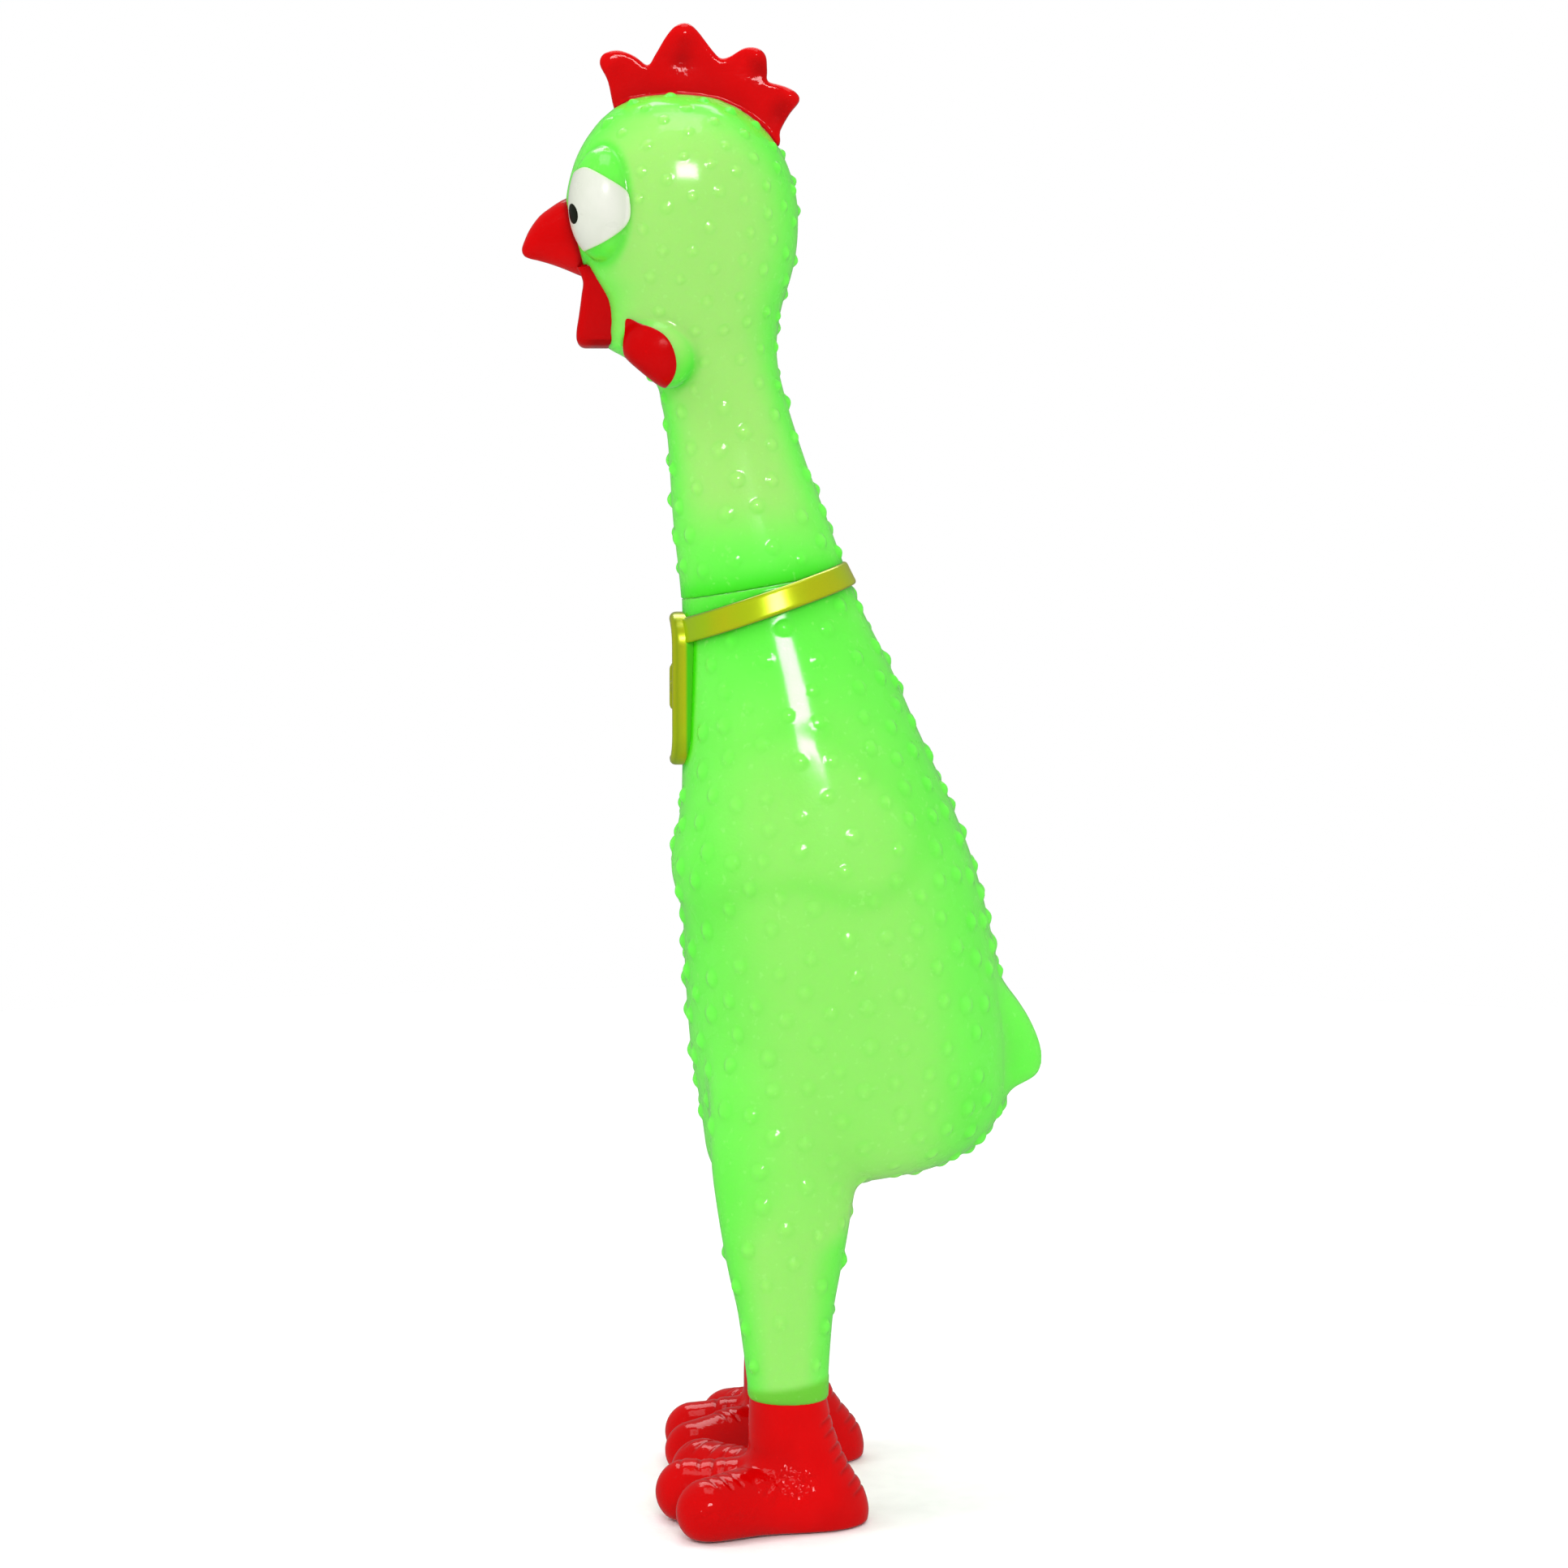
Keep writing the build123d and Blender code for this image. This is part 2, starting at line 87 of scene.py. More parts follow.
seam = joint_place("neck_twist")
seam_up = joint_axis("neck_twist")
seam_gap = 0.01                 # how far each moulding stops short of the seam
ankle = joint_place("right_ankle_bend")
sleeve_end = box_mm("body_shell")[0][2]
jaw_bottom = box_mm("lower_beak")[0][2]
medal_low, medal_high = box_mm("medal")
medal_middle = (medal_low[2] + medal_high[2]) / 2
bush_low, bush_high = box_mm("squeaker_bush")
throat_z = (bush_low[2] + bush_high[2]) / 2
throat_end = box_mm("reed_holder")[1][0] + 1.0     # just behind the squeaker
throat_radius = 5.4


# ---------------------------------------------------------------- distance fields
def join(a, b, k):
    """Smooth union of two distances, blended over k."""
    h = np.clip(0.5 + 0.5 * (b - a) / k, 0, 1)
    return b * (1 - h) + a * h - k * h * (1 - h)


def cut(a, b, k):
    """Smooth intersection of two distances."""
    return -join(-a, -b, k)


def smooth(edge0, edge1, value):
    """0 before edge0, 1 past edge1, eased in between."""
    t = np.clip((value - edge0) / (edge1 - edge0), 0, 1)
    return t * t * (3 - 2 * t)


def near(value, edge, width):
    """1 at the edge, falling off over the width on both sides of it."""
    return np.exp(-(((value - edge) / width) ** 2))


def egg(p, center, radii):
    """Distance to an ellipsoid."""
    d = [p[i] - center[i] for i in range(3)]
    k0 = np.sqrt(sum((d[i] / radii[i]) ** 2 for i in range(3)))
    k1 = np.sqrt(sum((d[i] / radii[i] ** 2) ** 2 for i in range(3)))
    return k0 * (k0 - 1) / (k1 + 1e-9)


def oval(u, v, radius_u, radius_v):
    """Distance to an ellipse whose radii may change along the limb."""
    k0 = np.sqrt((u / radius_u) ** 2 + (v / radius_v) ** 2)
    k1 = np.sqrt((u / radius_u**2) ** 2 + (v / radius_v**2) ** 2)
    return k0 * (k0 - 1) / (k1 + 1e-6)


def pin(p, a, b, radius_a, radius_b):
    """Distance to a bar with round ends and a radius that changes from a to b."""
    d = [b[i] - a[i] for i in range(3)]
    length2 = sum(c * c for c in d)
    t = np.clip(sum((p[i] - a[i]) * d[i] for i in range(3)) / length2, 0, 1)
    away = np.sqrt(sum((p[i] - a[i] - t * d[i]) ** 2 for i in range(3)))
    return away - (radius_a + (radius_b - radius_a) * t)


def curves(at, rows):
    """Smooth curves through rows of (place, value, value...), one array per value."""
    rows = np.array(sorted(rows), float)
    place = rows[:, 0]
    step = np.diff(place)
    index = np.clip(np.searchsorted(place, at) - 1, 0, len(place) - 2)
    t = (at - place[index]) / step[index]
    inside = np.clip(t, 0, 1)
    results = []
    for column in range(1, rows.shape[1]):
        value = rows[:, column]
        slope = np.diff(value) / step
        tangent = np.empty_like(value)
        tangent[0], tangent[-1] = slope[0], slope[-1]
        tangent[1:-1] = (slope[:-1] * step[1:] + slope[1:] * step[:-1]) / (step[1:] + step[:-1])
        v0, v1 = value[index], value[index + 1]
        m0, m1 = tangent[index] * step[index], tangent[index + 1] * step[index]
        s2, s3 = inside**2, inside**3
        result = (2 * s3 - 3 * s2 + 1) * v0 + (s3 - 2 * s2 + inside) * m0
        result = result + (3 * s2 - 2 * s3) * v1 + (s3 - s2) * m1
        over = t - inside
        results.append(result + over * np.where(over > 0, m1, m0))
    return results


def rounded(points, steps=4):
    """A closed smooth curve through points, as many short straight pieces."""
    points = np.array(points, float)
    count = len(points)
    result = []
    for i in range(count):
        a, b, c, d = (points[(i + j - 1) % count] for j in range(4))
        for s in range(steps):
            t = s / steps
            result.append(
                0.5 * (2 * b + (c - a) * t + (2 * a - 5 * b + 4 * c - d) * t**2
                       + (3 * b - a - 3 * c + d) * t**3)
            )
    return np.array(result)


def outline(u, v, points):
    """Signed distance to a closed outline, below zero inside."""
    nearest = None
    inside = None
    for (ax, ay), (bx, by) in zip(points, np.roll(points, -1, axis=0)):
        ex, ey = bx - ax, by - ay
        wx, wy = u - ax, v - ay
        t = np.clip((wx * ex + wy * ey) / (ex * ex + ey * ey + 1e-12), 0, 1)
        d2 = (wx - ex * t) ** 2 + (wy - ey * t) ** 2
        crosses = ((ay <= v) != (by <= v)) & (wx < ex * wy / (ey if ey else 1e-12))
        nearest = d2 if nearest is None else np.minimum(nearest, d2)
        inside = crosses if inside is None else inside ^ crosses
    return np.where(inside, -1.0, 1.0) * np.sqrt(nearest)


def two_sided(p):
    """The same place on the chicken's right side, so a pair needs one shape."""
    return p[0], np.abs(p[1]), p[2]


def over_seam(p):
    """How far a place is above the plane where the neck meets the body."""
    return sum((p[i] - seam[i]) * seam_up[i] for i in range(3))


# ---------------------------------------------------------------- shape of the body
torso_rows = [                  # height, front, back, half width
    (60, -14.9, 34.0, 27.0),
    (72, -16.6, 41.5, 28.6),
    (80, -17.6, 45.6, 30.0),
    (88, -18.7, 48.6, 31.2),
    (97, -20.2, 49.2, 32.0),
    (111, -21.4, 47.8, 32.6),
    (125.6, -22.0, 45.0, 32.4),
    (140, -22.5, 41.2, 31.2),
    (154, -22.3, 35.8, 28.8),
    (168, -22.0, 29.4, 25.6),
    (182.5, -21.9, 23.0, 21.8),
    (195, -22.1, 16.8, 18.7),
    (204, -22.4, 12.9, 17.3),
    (214, -22.9, 9.2, 16.0),
]
leg_rows = [                    # height, middle x, middle y, radius x, radius y
    (20, 0.9, 26.3, 8.2, 8.2),
    (27, 0.9, 26.3, 8.5, 8.4),
    (33, 0.7, 25.9, 8.9, 8.7),
    (39, 0.5, 25.2, 9.5, 9.3),
    (46, 0.3, 24.2, 10.4, 10.1),
    (53, 0.1, 23.1, 11.9, 10.9),
    (60, 0.1, 21.8, 13.3, 11.8),
    (67, 0.1, 20.3, 14.5, 12.6),
    (74, 0.2, 18.6, 15.6, 13.3),
    (84, 0.5, 17.0, 16.4, 13.6),
    (96, 1.5, 15.0, 17.0, 13.4),
    (110, 4.0, 12.0, 15.0, 12.0),
]
wing_outline = rounded([
    (5.0, 170.5), (15.0, 164.5), (28.5, 151.0), (26.5, 140.5), (16.5, 135.2), (3.0, 138.5),
    (-9.0, 135.5), (-20.0, 129.0), (-29.0, 136.5), (-26.0, 149.0), (-11.0, 165.0),
], steps=5)
tail_outline = rounded([
    (36, 118), (44.5, 115.6), (49.2, 111.6), (53.8, 105.0), (56.6, 98.0), (55.8, 93.0),
    (51.4, 90.4), (44, 87.5), (36, 90),
], steps=5)
underside_x, underside_z = 16.0, 70.7
underside_rise = 0.13           # slope of the underside, up toward the tail
underside_bow = 0.004           # how it bends up toward the flanks
leg_top = 108.0
tail_x, tail_half = 42.0, 9.5   # where the tail starts, and half its thickness there
tail_taper = 0.42
wing_relief, wing_tip_relief = 0.6, 1.8
wing_tip_z, wing_tip_reach = 140.0, 8.5
band_rise = 3.7                 # how far the foot's stub shows above the end of the leg
right_lean = 1.5                # how much further forward the right ankle stands than the left
body_spacing, body_radius, body_height = 6.7, 2.15, 0.95    # the body's nodules


def leg_lean(y, z):
    """How far forward of its twin a leg stands at that height: only the right one does."""
    return right_lean * (y > 0) * smooth(78, 50, z) * smooth(6, 16, z)


def torso_only(p):
    """Torso without underside, legs and seam, for what lies on it."""
    x, y, z = p
    front, back, half = curves(z, torso_rows)
    return oval(x - (front + back) / 2, y, (back - front) / 2, half)


def body_base(p):
    """Torso, legs and tail, before the wings are raised and the neck seam is cut."""
    x, y, z = p
    underside = underside_z + underside_rise * (x - underside_x) - z + underside_bow * y * y
    torso = cut(torso_only(p), underside, 12)
    mid_x, mid_y, radius_x, radius_y = curves(z, leg_rows)
    leg = oval(x - mid_x + leg_lean(y, z), np.abs(y) - mid_y, radius_x, radius_y)
    leg = cut(leg, z - leg_top, 6)
    fin_half = tail_half - tail_taper * np.clip(x - tail_x, 0, 20)
    fin = cut(outline(x, z, tail_outline), np.abs(y) - fin_half, 5)
    return join(join(torso, leg, 2.8), fin, 2.0)


def band_top(x):
    """Height of the edge where the foot's stub shows through the leg."""
    return sleeve_end + band_rise + 0.14 * (x - ankle[0])


def body_field(p):
    """The whole body moulding."""
    x, y, z = p
    wing_tip = near(z, wing_tip_z, wing_tip_reach) * smooth(-6, -17, x)
    relief = (wing_relief + wing_tip_relief * wing_tip) * smooth(1.0, 5.5, np.abs(y))
    d = body_base(p) - relief * smooth(-4.0, 5.0, -outline(x, z, wing_outline))
    d = cut(d, over_seam(p) + seam_gap, 0.09)
    d = d - 0.12 * smooth(0.3, -0.3, z - band_top(x))
    return cut(d, sleeve_end - z, 1.0)


# ---------------------------------------------------------------- shape of the head and neck
head_rows = [                   # height, front, back, half width
    (190, -21.9, 18.2, 18.4),
    (197, -22.3, 15.6, 17.5),
    (203.6, -22.9, 13.3, 17.0),
    (210.6, -23.7, 10.7, 16.1),
    (217.7, -24.3, 8.1, 15.0),
    (224.7, -24.7, 5.4, 14.0),
    (231.7, -25.2, 3.0, 13.1),
    (238.7, -26.4, 0.8, 12.8),
    (243.9, -28.0, -0.6, 13.1),
    (246.6, -30.8, -1.2, 13.8),
    (249.2, -34.6, -1.5, 14.6),
    (251.0, -37.8, -1.6, 15.3),
    (253.5, -38.9, -1.5, 16.1),
    (257, -39.0, -1.1, 17.2),
    (261, -39.7, -0.2, 18.3),
    (266, -42.5, 1.4, 19.7),
    (271, -45.0, 2.5, 20.9),
    (277, -46.9, 3.0, 21.7),
    (283, -46.8, 2.7, 21.9),
    (288, -45.8, 1.5, 21.3),
    (292.5, -44.2, -0.4, 20.0),
    (297, -41.5, -3.5, 17.5),
    (300.5, -38.4, -7.3, 14.4),
    (303, -34.8, -11.6, 10.6),
    (304.5, -30.8, -16.0, 6.4),
    (305.2, -26.0, -21.0, 2.5),
]
crown_z = 305.0
eye_center, eye_radii = (-37.9, 12.2, 281.2), (7.7, 9.7, 12.2)
lobe_center, lobe_radii = (-26.3, 11.2, 250.3), (8.4, 8.2, 8.2)
jowl_x, jowl_z = -34.6, 249.6   # a place on the slanted face that ends each lobe under the chin
head_spacing, head_radius, head_height = 5.7, 1.5, 0.78     # the head's nodules


def head_base(p):
    """Head, neck, eye bulges and lobes, without the nodules and the throat."""
    x, y, z = p
    front, back, half = curves(z, head_rows)
    length = np.maximum(back - front, 2.0) / 2
    d = oval(x - (front + back) / 2, y, length, np.maximum(half, 1.0))
    d = cut(d, z - crown_z, 1.5)
    side = two_sided(p)
    d = join(d, egg(side, eye_center, eye_radii), 0.5)
    jowl = -0.64 * (x - jowl_x) - 0.77 * (z - jowl_z)
    lobe = cut(egg(side, lobe_center, lobe_radii), jowl, 2.0)
    return join(d, lobe, 1.3)


def throat_field(p):
    """Distance to the round hole that the squeaker sits in."""
    return np.sqrt(p[1] ** 2 + (p[2] - throat_z) ** 2) - throat_radius


def head_field(p):
    """The whole head moulding."""
    throat = cut(throat_field(p), p[0] - throat_end, 0.3)
    d = cut(head_base(p), -throat, 0.8)
    return cut(d, seam_gap - over_seam(p), 0.09)


# ---------------------------------------------------------------- comb and beak
comb_outline = rounded([
    (-34.0, 296.0), (-36.4, 302.0), (-37.7, 307.8), (-39.4, 311.4), (-38.6, 313.6),
    (-35.6, 314.4), (-32.2, 313.3), (-29.2, 311.3), (-27.6, 313.4), (-25.3, 317.2),
    (-23.2, 319.5), (-20.8, 320.1), (-18.6, 318.6), (-15.4, 314.5), (-13.6, 312.8),
    (-11.6, 313.1), (-8.4, 314.9), (-5.6, 314.8), (-3.9, 313.2), (-3.6, 310.2),
    (-3.4, 307.9), (-0.2, 306.9), (2.4, 305.6), (3.3, 303.8), (1.2, 301.0), (-0.8, 297.4),
    (-1.8, 293.6), (-12.0, 290.0), (-24.0, 291.0),
])
comb_swells = [                 # middle (x, z), reach, how much thicker, or thinner in a hollow
    ((-37.2, 311.7), 2.2, 0.5),
    ((-21.3, 317.6), 2.0, 1.1),
    ((-5.9, 312.9), 1.8, 0.9),
    ((1.2, 304.4), 1.8, 0.9),
    ((-21.8, 312.4), 3.2, -0.25),
    ((-4.9, 309.6), 2.2, -0.3),
    ((-0.7, 300.9), 2.2, -0.25),
    ((-35.0, 304.0), 4.0, 0.3),
    ((-21.5, 305.5), 5.5, 0.4),
    ((-9.0, 306.5), 4.0, 0.4),
]
comb_hollows = [place for place, _, rise in comb_swells if rise < 0]
comb_half = 2.2
comb_depth = 1.2                # how far the comb reaches into the head

beak_rows = [                   # x, lower edge, upper edge, half width
    (-57.2, 271.9, 272.1, 0.3),
    (-56.2, 270.9, 273.4, 1.5),
    (-55.0, 270.3, 275.9, 2.8),
    (-53.0, 269.8, 278.8, 4.2),
    (-50.2, 269.0, 281.1, 5.8),
    (-47.4, 268.0, 282.8, 7.2),
    (-44.0, 266.6, 283.8, 8.4),
    (-40.0, 265.2, 284.0, 9.0),
    (-36.0, 264.5, 283.8, 9.4),
]
beak_tip_x, beak_root_x = -56.4, -37.0
jaw_rows = [                    # height, front, back, half width
    (249.0, -44.2, -37.0, 6.4),
    (254.2, -44.5, -36.0, 7.4),
    (258.0, -43.9, -36.0, 8.2),
    (262.2, -43.3, -36.0, 8.8),
    (265.2, -43.0, -36.0, 9.0),
    (268.0, -44.2, -36.0, 9.0),
    (271.0, -46.0, -36.0, 8.8),
]
jaw_top = 270.0
beak_depth = 1.0                # how far both halves of the beak reach into the head
scoop_center, scoop_radii = (-47.6, 0, 260.6), (6.0, 6.6, 7.4)


def comb_field(p):
    """A puffy fin with four round points that follows the top of the head."""
    x, y, z = p
    base = head_base(p)
    half = comb_half + 0.4 * smooth(1.2, 0.1, base)
    for place, reach, rise in comb_swells:
        half = half + rise * np.exp(-((x - place[0]) ** 2 + (z - place[1]) ** 2) / reach**2)
    d = cut(outline(x, z, comb_outline), np.abs(y) - half, 1.3)
    return cut(d, -(base + comb_depth), 0.4)


def beak_field(p):
    """Upper beak: a hooked cone with a soft ridge along its top."""
    x, y, z = p
    low, high, half = curves(x, beak_rows)
    d = oval(z - (low + high) / 2, y, (high - low) / 2, half)
    d = cut(d, x - beak_root_x, 1.0)
    d = cut(d, beak_tip_x - x, 1.0)
    return cut(d, -(head_base(p) + beak_depth), 0.3)


def jaw_field(p):
    """Lower beak: a scoop that hangs open, with the throat in its hollow."""
    x, y, z = p
    front, back, half = curves(z, jaw_rows)
    d = cut(np.abs(y) - half, front - x, 2.2)
    d = cut(d, x - back, 0.5)
    d = cut(d, jaw_bottom - 0.4 + 0.02 * y * y - z, 1.8)
    d = cut(d, z - jaw_top, 1.2)
    d = cut(d, -egg(p, scoop_center, scoop_radii), 1.2)
    d = cut(d, -throat_field(p), 0.6)
    return cut(d, -(head_base(p) + beak_depth), 0.3)


# ---------------------------------------------------------------- painted lobes and eyes
wattle_outline = rounded([
    (-33.4, 257.2), (-30.2, 256.0), (-27.4, 255.0), (-24.9, 253.3), (-23.3, 250.6),
    (-22.7, 247.6), (-23.2, 245.0), (-24.8, 242.8), (-28.0, 241.0), (-33.0, 244.0),
    (-34.2, 250.0), (-33.9, 254.6),
])
white_outline = rounded([
    (-44.1, 288.1), (-42.3, 288.7), (-40.7, 288.3), (-37.6, 286.6), (-33.8, 284.3),
    (-32.6, 282.9), (-32.2, 280.0), (-32.5, 277.6), (-34.2, 275.4), (-38.2, 272.8),
    (-43.2, 271.0), (-44.9, 271.9), (-49.0, 275.0), (-50.0, 281.0), (-48.0, 286.6),
])
white_inner_edge = 11.6         # how near each white comes to the middle of the face
pupil_side, pupil_z, pupil_radius = 16.9, 279.0, 2.15
pupil_back = -40.0


def paint_skin(p, proud, sunk, k):
    """A thin layer on the head that stands proud of it and reaches a little inside."""
    d = head_base(p)
    return cut(d - proud, -(d + sunk), k)


def wattle_field(p):
    """Red paint on the lobe."""
    x, y, z = p
    skin = paint_skin(p, 0.2, 0.9, 0.25)
    inner = 8.2 + 2.8 * smooth(253, 246.5, z)
    return cut(cut(skin, outline(x, z, wattle_outline), 0.25), inner - np.abs(y), 0.3)


def white_field(p):
    """White of the eye, cut off toward the beak and slanted inward below the pupil."""
    x, y, z = p
    skin = paint_skin(p, 0.14, 0.9, 0.2)
    inner = white_inner_edge + 0.03 * (z - pupil_z) ** 2 * (z < pupil_z) - np.abs(y)
    return cut(cut(skin, outline(x, z, white_outline), 0.2), inner, 0.3)


def pupil_field(p):
    """Round pupil that looks forward."""
    x, y, z = p
    skin = paint_skin(p, 0.26, 0.6, 0.2)
    edge = np.sqrt((np.abs(y) - pupil_side) ** 2 + (z - pupil_z) ** 2) - pupil_radius
    return cut(cut(skin, edge, 0.2), x - pupil_back, 0.3)


# ---------------------------------------------------------------- ribbon and medal
ribbon_tip = math.radians(19.0)
ribbon_x, ribbon_z = -3.3, 196.7
ribbon_half, ribbon_raise = 2.65, 1.3
medal_corner = 7.0
medal_back = -17.5
medal_bow = 0.012               # how much the plaque bends back toward its sides
medal_sink = 0.75               # depth of the field inside the rim
star_points, star_reach, star_waist = 5, 5.4, 2.3
star_outline = np.array([
    (radius * math.sin(turn), radius * math.cos(turn))
    for turn, radius in (
        (math.radians(180 / star_points * i), star_reach if i % 2 == 0 else star_waist)
        for i in range(2 * star_points)
    )
])


def across_ribbon(x, z):
    """How far a place is above the middle line of the ribbon, square to it."""
    return (x - ribbon_x) * -math.sin(ribbon_tip) + (z - ribbon_z) * math.cos(ribbon_tip)


def ribbon_field(p):
    """A flat band round the collar, low at the chest and high at the back."""
    x, _, z = p
    across = across_ribbon(x, z)
    d = torso_only(p)
    band = cut(d - ribbon_raise + 0.08 * across, np.abs(across) - ribbon_half, 0.9)
    return cut(band, -(d + 0.9), 0.4)


def medal_edge(y, z):
    """Signed distance to the plaque's outline, below zero inside."""
    half_width = (medal_high[1] - medal_low[1]) / 2
    half_height = (medal_high[2] - medal_low[2]) / 2
    qu = np.abs(y) - half_width + medal_corner
    qv = np.abs(z - medal_middle) - half_height + medal_corner
    face = np.sqrt(np.maximum(qu, 0) ** 2 + np.maximum(qv, 0) ** 2)
    return face + np.minimum(np.maximum(qu, qv), 0) - medal_corner


def medal_field(p):
    """A plaque that follows the chest, with a raised rim and a plain star."""
    x, y, z = p
    face = medal_edge(y, z)
    front = medal_low[0] - 0.3 + medal_bow * y * y
    star = outline(y, z - medal_middle, star_outline)
    field_depth = medal_sink * smooth(-1.5, -2.3, face) * smooth(-0.35, 0.35, star)
    d = cut(face, front + field_depth - x, 1.4)
    return cut(d, x - medal_back, 0.4)


# ---------------------------------------------------------------- feet
ankle_rows = [                  # height, middle x, radius x, radius y
    (-2, 5.0, 12.6, 9.4),
    (3, 5.2, 13.0, 10.2),
    (8, 4.5, 12.2, 10.0),
    (12, 3.3, 10.9, 9.5),
    (18, 1.9, 9.6, 8.9),
    (27, 0.9, 8.3, 8.3),
    (34, 0.8, 7.6, 7.6),
]
toe_tips = {                    # how far each toe reaches forward and outward of the ankle
    "left": [(16.5, 13.5), (21.3, -1.8), (18.4, -18.3)],
    "right": [(13.3, 13.5), (21.3, 1.2), (20.8, -15.4)],
}
toe_sizes = {"left": 7.0, "right": 6.5}
knuckle_rise = {"left": 0.0, "right": 1.1}
knuckle_share = 0.62            # where a toe's knuckle sits between the ankle and the tip
crease_places = (               # share of the toe's reach, depth
    (0.5, 0.24), (0.64, 0.32), (0.78, 0.34), (0.92, 0.34), (1.06, 0.3),
)
instep_center, instep_radii = (-1.5, -1.0, 2.0), (10.5, 11.0, 12.4)
toe_root_radius = 7.6
toe_top = 12.9
heel_notch_heights = (4.5, 7.6, 10.8, 13.8, 17.0, 20.2, 23.4)
heel_notch_depth = 0.32
foot_top = sleeve_end + 4.0


def foot_field(p, name):
    """Three toes, a heel and the ankle."""
    side = -1 if name == "left" else 1
    size = toe_sizes[name]
    thin = size - 0.6
    x, y, z = p
    out = side * y - ankle[1]
    mid_x, radius_x, radius_y = curves(z, ankle_rows)
    d = oval(x - mid_x + leg_lean(y, z), out, radius_x, radius_y)
    place = (x, out, z)
    instep = egg(place, instep_center, instep_radii)
    root = (ankle[0] + 2.0, 0.0, 7.4)
    toes = None
    for forward, outward in toe_tips[name]:
        tip = (ankle[0] - forward - 0.3, outward, size - 1.1)
        knuckle = (ankle[0] - knuckle_share * forward, knuckle_share * outward,
                   thin + knuckle_rise[name])
        back_half = pin(place, root, knuckle, toe_root_radius, thin)
        toe = join(pin(place, knuckle, tip, thin, size), back_half, 2.0)
        toes = toe if toes is None else join(toes, toe, 1.2)
    forward, outward = toe_tips[name][0]
    edge_front = (ankle[0] - 0.75 * forward, 0.75 * outward + 1.2, 5.4)
    edge = pin(place, (ankle[0] + 6.5, 3.6, 5.6), edge_front, 6.6, 6.4)
    d = join(d, join(join(toes, edge, 3.0), instep, 4.0), 3.0)
    d = cut(d, 0.02 - z, 0.9)
    return cut(d, z - foot_top, 1.0)


# ---------------------------------------------------------------- from fields to meshes
def gradient(field, points, reach=0.05):
    """Slope of a field at points, as an array of vectors."""
    result = np.empty_like(points)
    for axis in range(3):
        high, low = points.copy(), points.copy()
        high[:, axis] += reach
        low[:, axis] -= reach
        result[:, axis] = (field(tuple(high.T)) - field(tuple(low.T))) / (2 * reach)
    return result


def solid(name, field, low, high, voxel):
    """A closed mesh of the field's zero surface, as (object, points in mm, normals)."""
    low, high = np.array(low, float), np.array(high, float)
    counts = np.ceil((high - low) / voxel).astype(int) + 1
    axes = [low[i] + voxel * np.arange(counts[i]) for i in range(3)]
    p = (axes[0][:, None, None], axes[1][None, :, None], axes[2][None, None, :])
    reach = 3 * voxel
    values = np.broadcast_to(field(p), tuple(counts)).astype(np.float32)
    values = np.clip(values, -reach, reach)
    grid = openvdb.FloatGrid(reach)
    grid.copyFromArray(np.ascontiguousarray(values))
    points, _, quads = grid.convertToPolygons(isovalue=0.0, adaptivity=0.0)
    points = points.astype(float) * voxel + low
    for _ in range(2):
        slope = gradient(field, points)
        steep = np.maximum((slope**2).sum(axis=1), 0.05)
        step = field(tuple(points.T))[:, None] * slope / steep[:, None]
        points = points - np.clip(step, -0.6 * voxel, 0.6 * voxel)
    slope = gradient(field, points)
    normals = slope / np.maximum(np.linalg.norm(slope, axis=1), 1e-9)[:, None]
    mesh = bpy.data.meshes.new(name)
    mesh.from_pydata((points * MM).tolist(), [], quads[:, ::-1].tolist())
    mesh.update()
    obj = bpy.data.objects.new(name, mesh)
    bpy.context.scene.collection.objects.link(obj)
    mesh.polygons.foreach_set("use_smooth", np.ones(len(mesh.polygons), dtype=bool))
    return obj, points, normals


def place_points(obj, points):
    """Writes moved points, in mm, back to the mesh."""
    obj.data.vertices.foreach_set("co", (points * MM).astype(np.float32).ravel())
    obj.data.update()


def store(obj, name, values):
    """Keeps one number for each point, which the materials read."""
    attribute = obj.data.attributes.new(name, "FLOAT", "POINT")
    attribute.data.foreach_set("value", np.asarray(values, np.float32))


def scatter(points, allowed, spacing, rng):
    """Random places on a mesh, no two nearer than the spacing at that place."""
    picks = []
    cells = {}
    size = float(spacing.max())
    for i in rng.permutation(np.flatnonzero(allowed)):
        q = points[i]
        key = tuple((q // size).astype(int))
        close = [
            j for dx in (-1, 0, 1) for dy in (-1, 0, 1) for dz in (-1, 0, 1)
            for j in cells.get((key[0] + dx, key[1] + dy, key[2] + dz), ())
        ]
        if all(((points[j] - q) ** 2).sum() > spacing[i] ** 2 for j in close):
            picks.append(i)
            cells.setdefault(key, []).append(i)
    return picks


def raise_nodules(obj, points, normals, allowed, spacing, radius, height, seed):
    """Raises small round nodules and marks a ring of painted shade round the foot of each one."""
    rng = np.random.default_rng(seed)
    lift = np.zeros(len(points))
    ring_shade = np.zeros(len(points))
    order = np.argsort(points[:, 2])
    heights = points[order, 2]
    for i in scatter(points, allowed, spacing, rng):
        r = radius[i] * rng.uniform(0.88, 1.1)
        h = height[i] * rng.uniform(0.85, 1.12)
        lo, hi = np.searchsorted(heights, (points[i, 2] - 2 * r, points[i, 2] + 2 * r))
        band = order[lo:hi]
        away = np.sqrt(((points[band] - points[i]) ** 2).sum(axis=1)) / r
        close = away < 1.7
        band, away = band[close], away[close]
        dome = np.clip(1 - away**2, 0, 1) ** 1.25
        lift[band] = np.maximum(lift[band], h * dome)
        # Painted shade: a ring round the foot of the nodule.
        ring_shade[band] = np.maximum(ring_shade[band], near(away, 0.95, 0.3))
    place_points(obj, points + normals * lift[:, None])
    store(obj, "nodule_ring_shade", ring_shade)


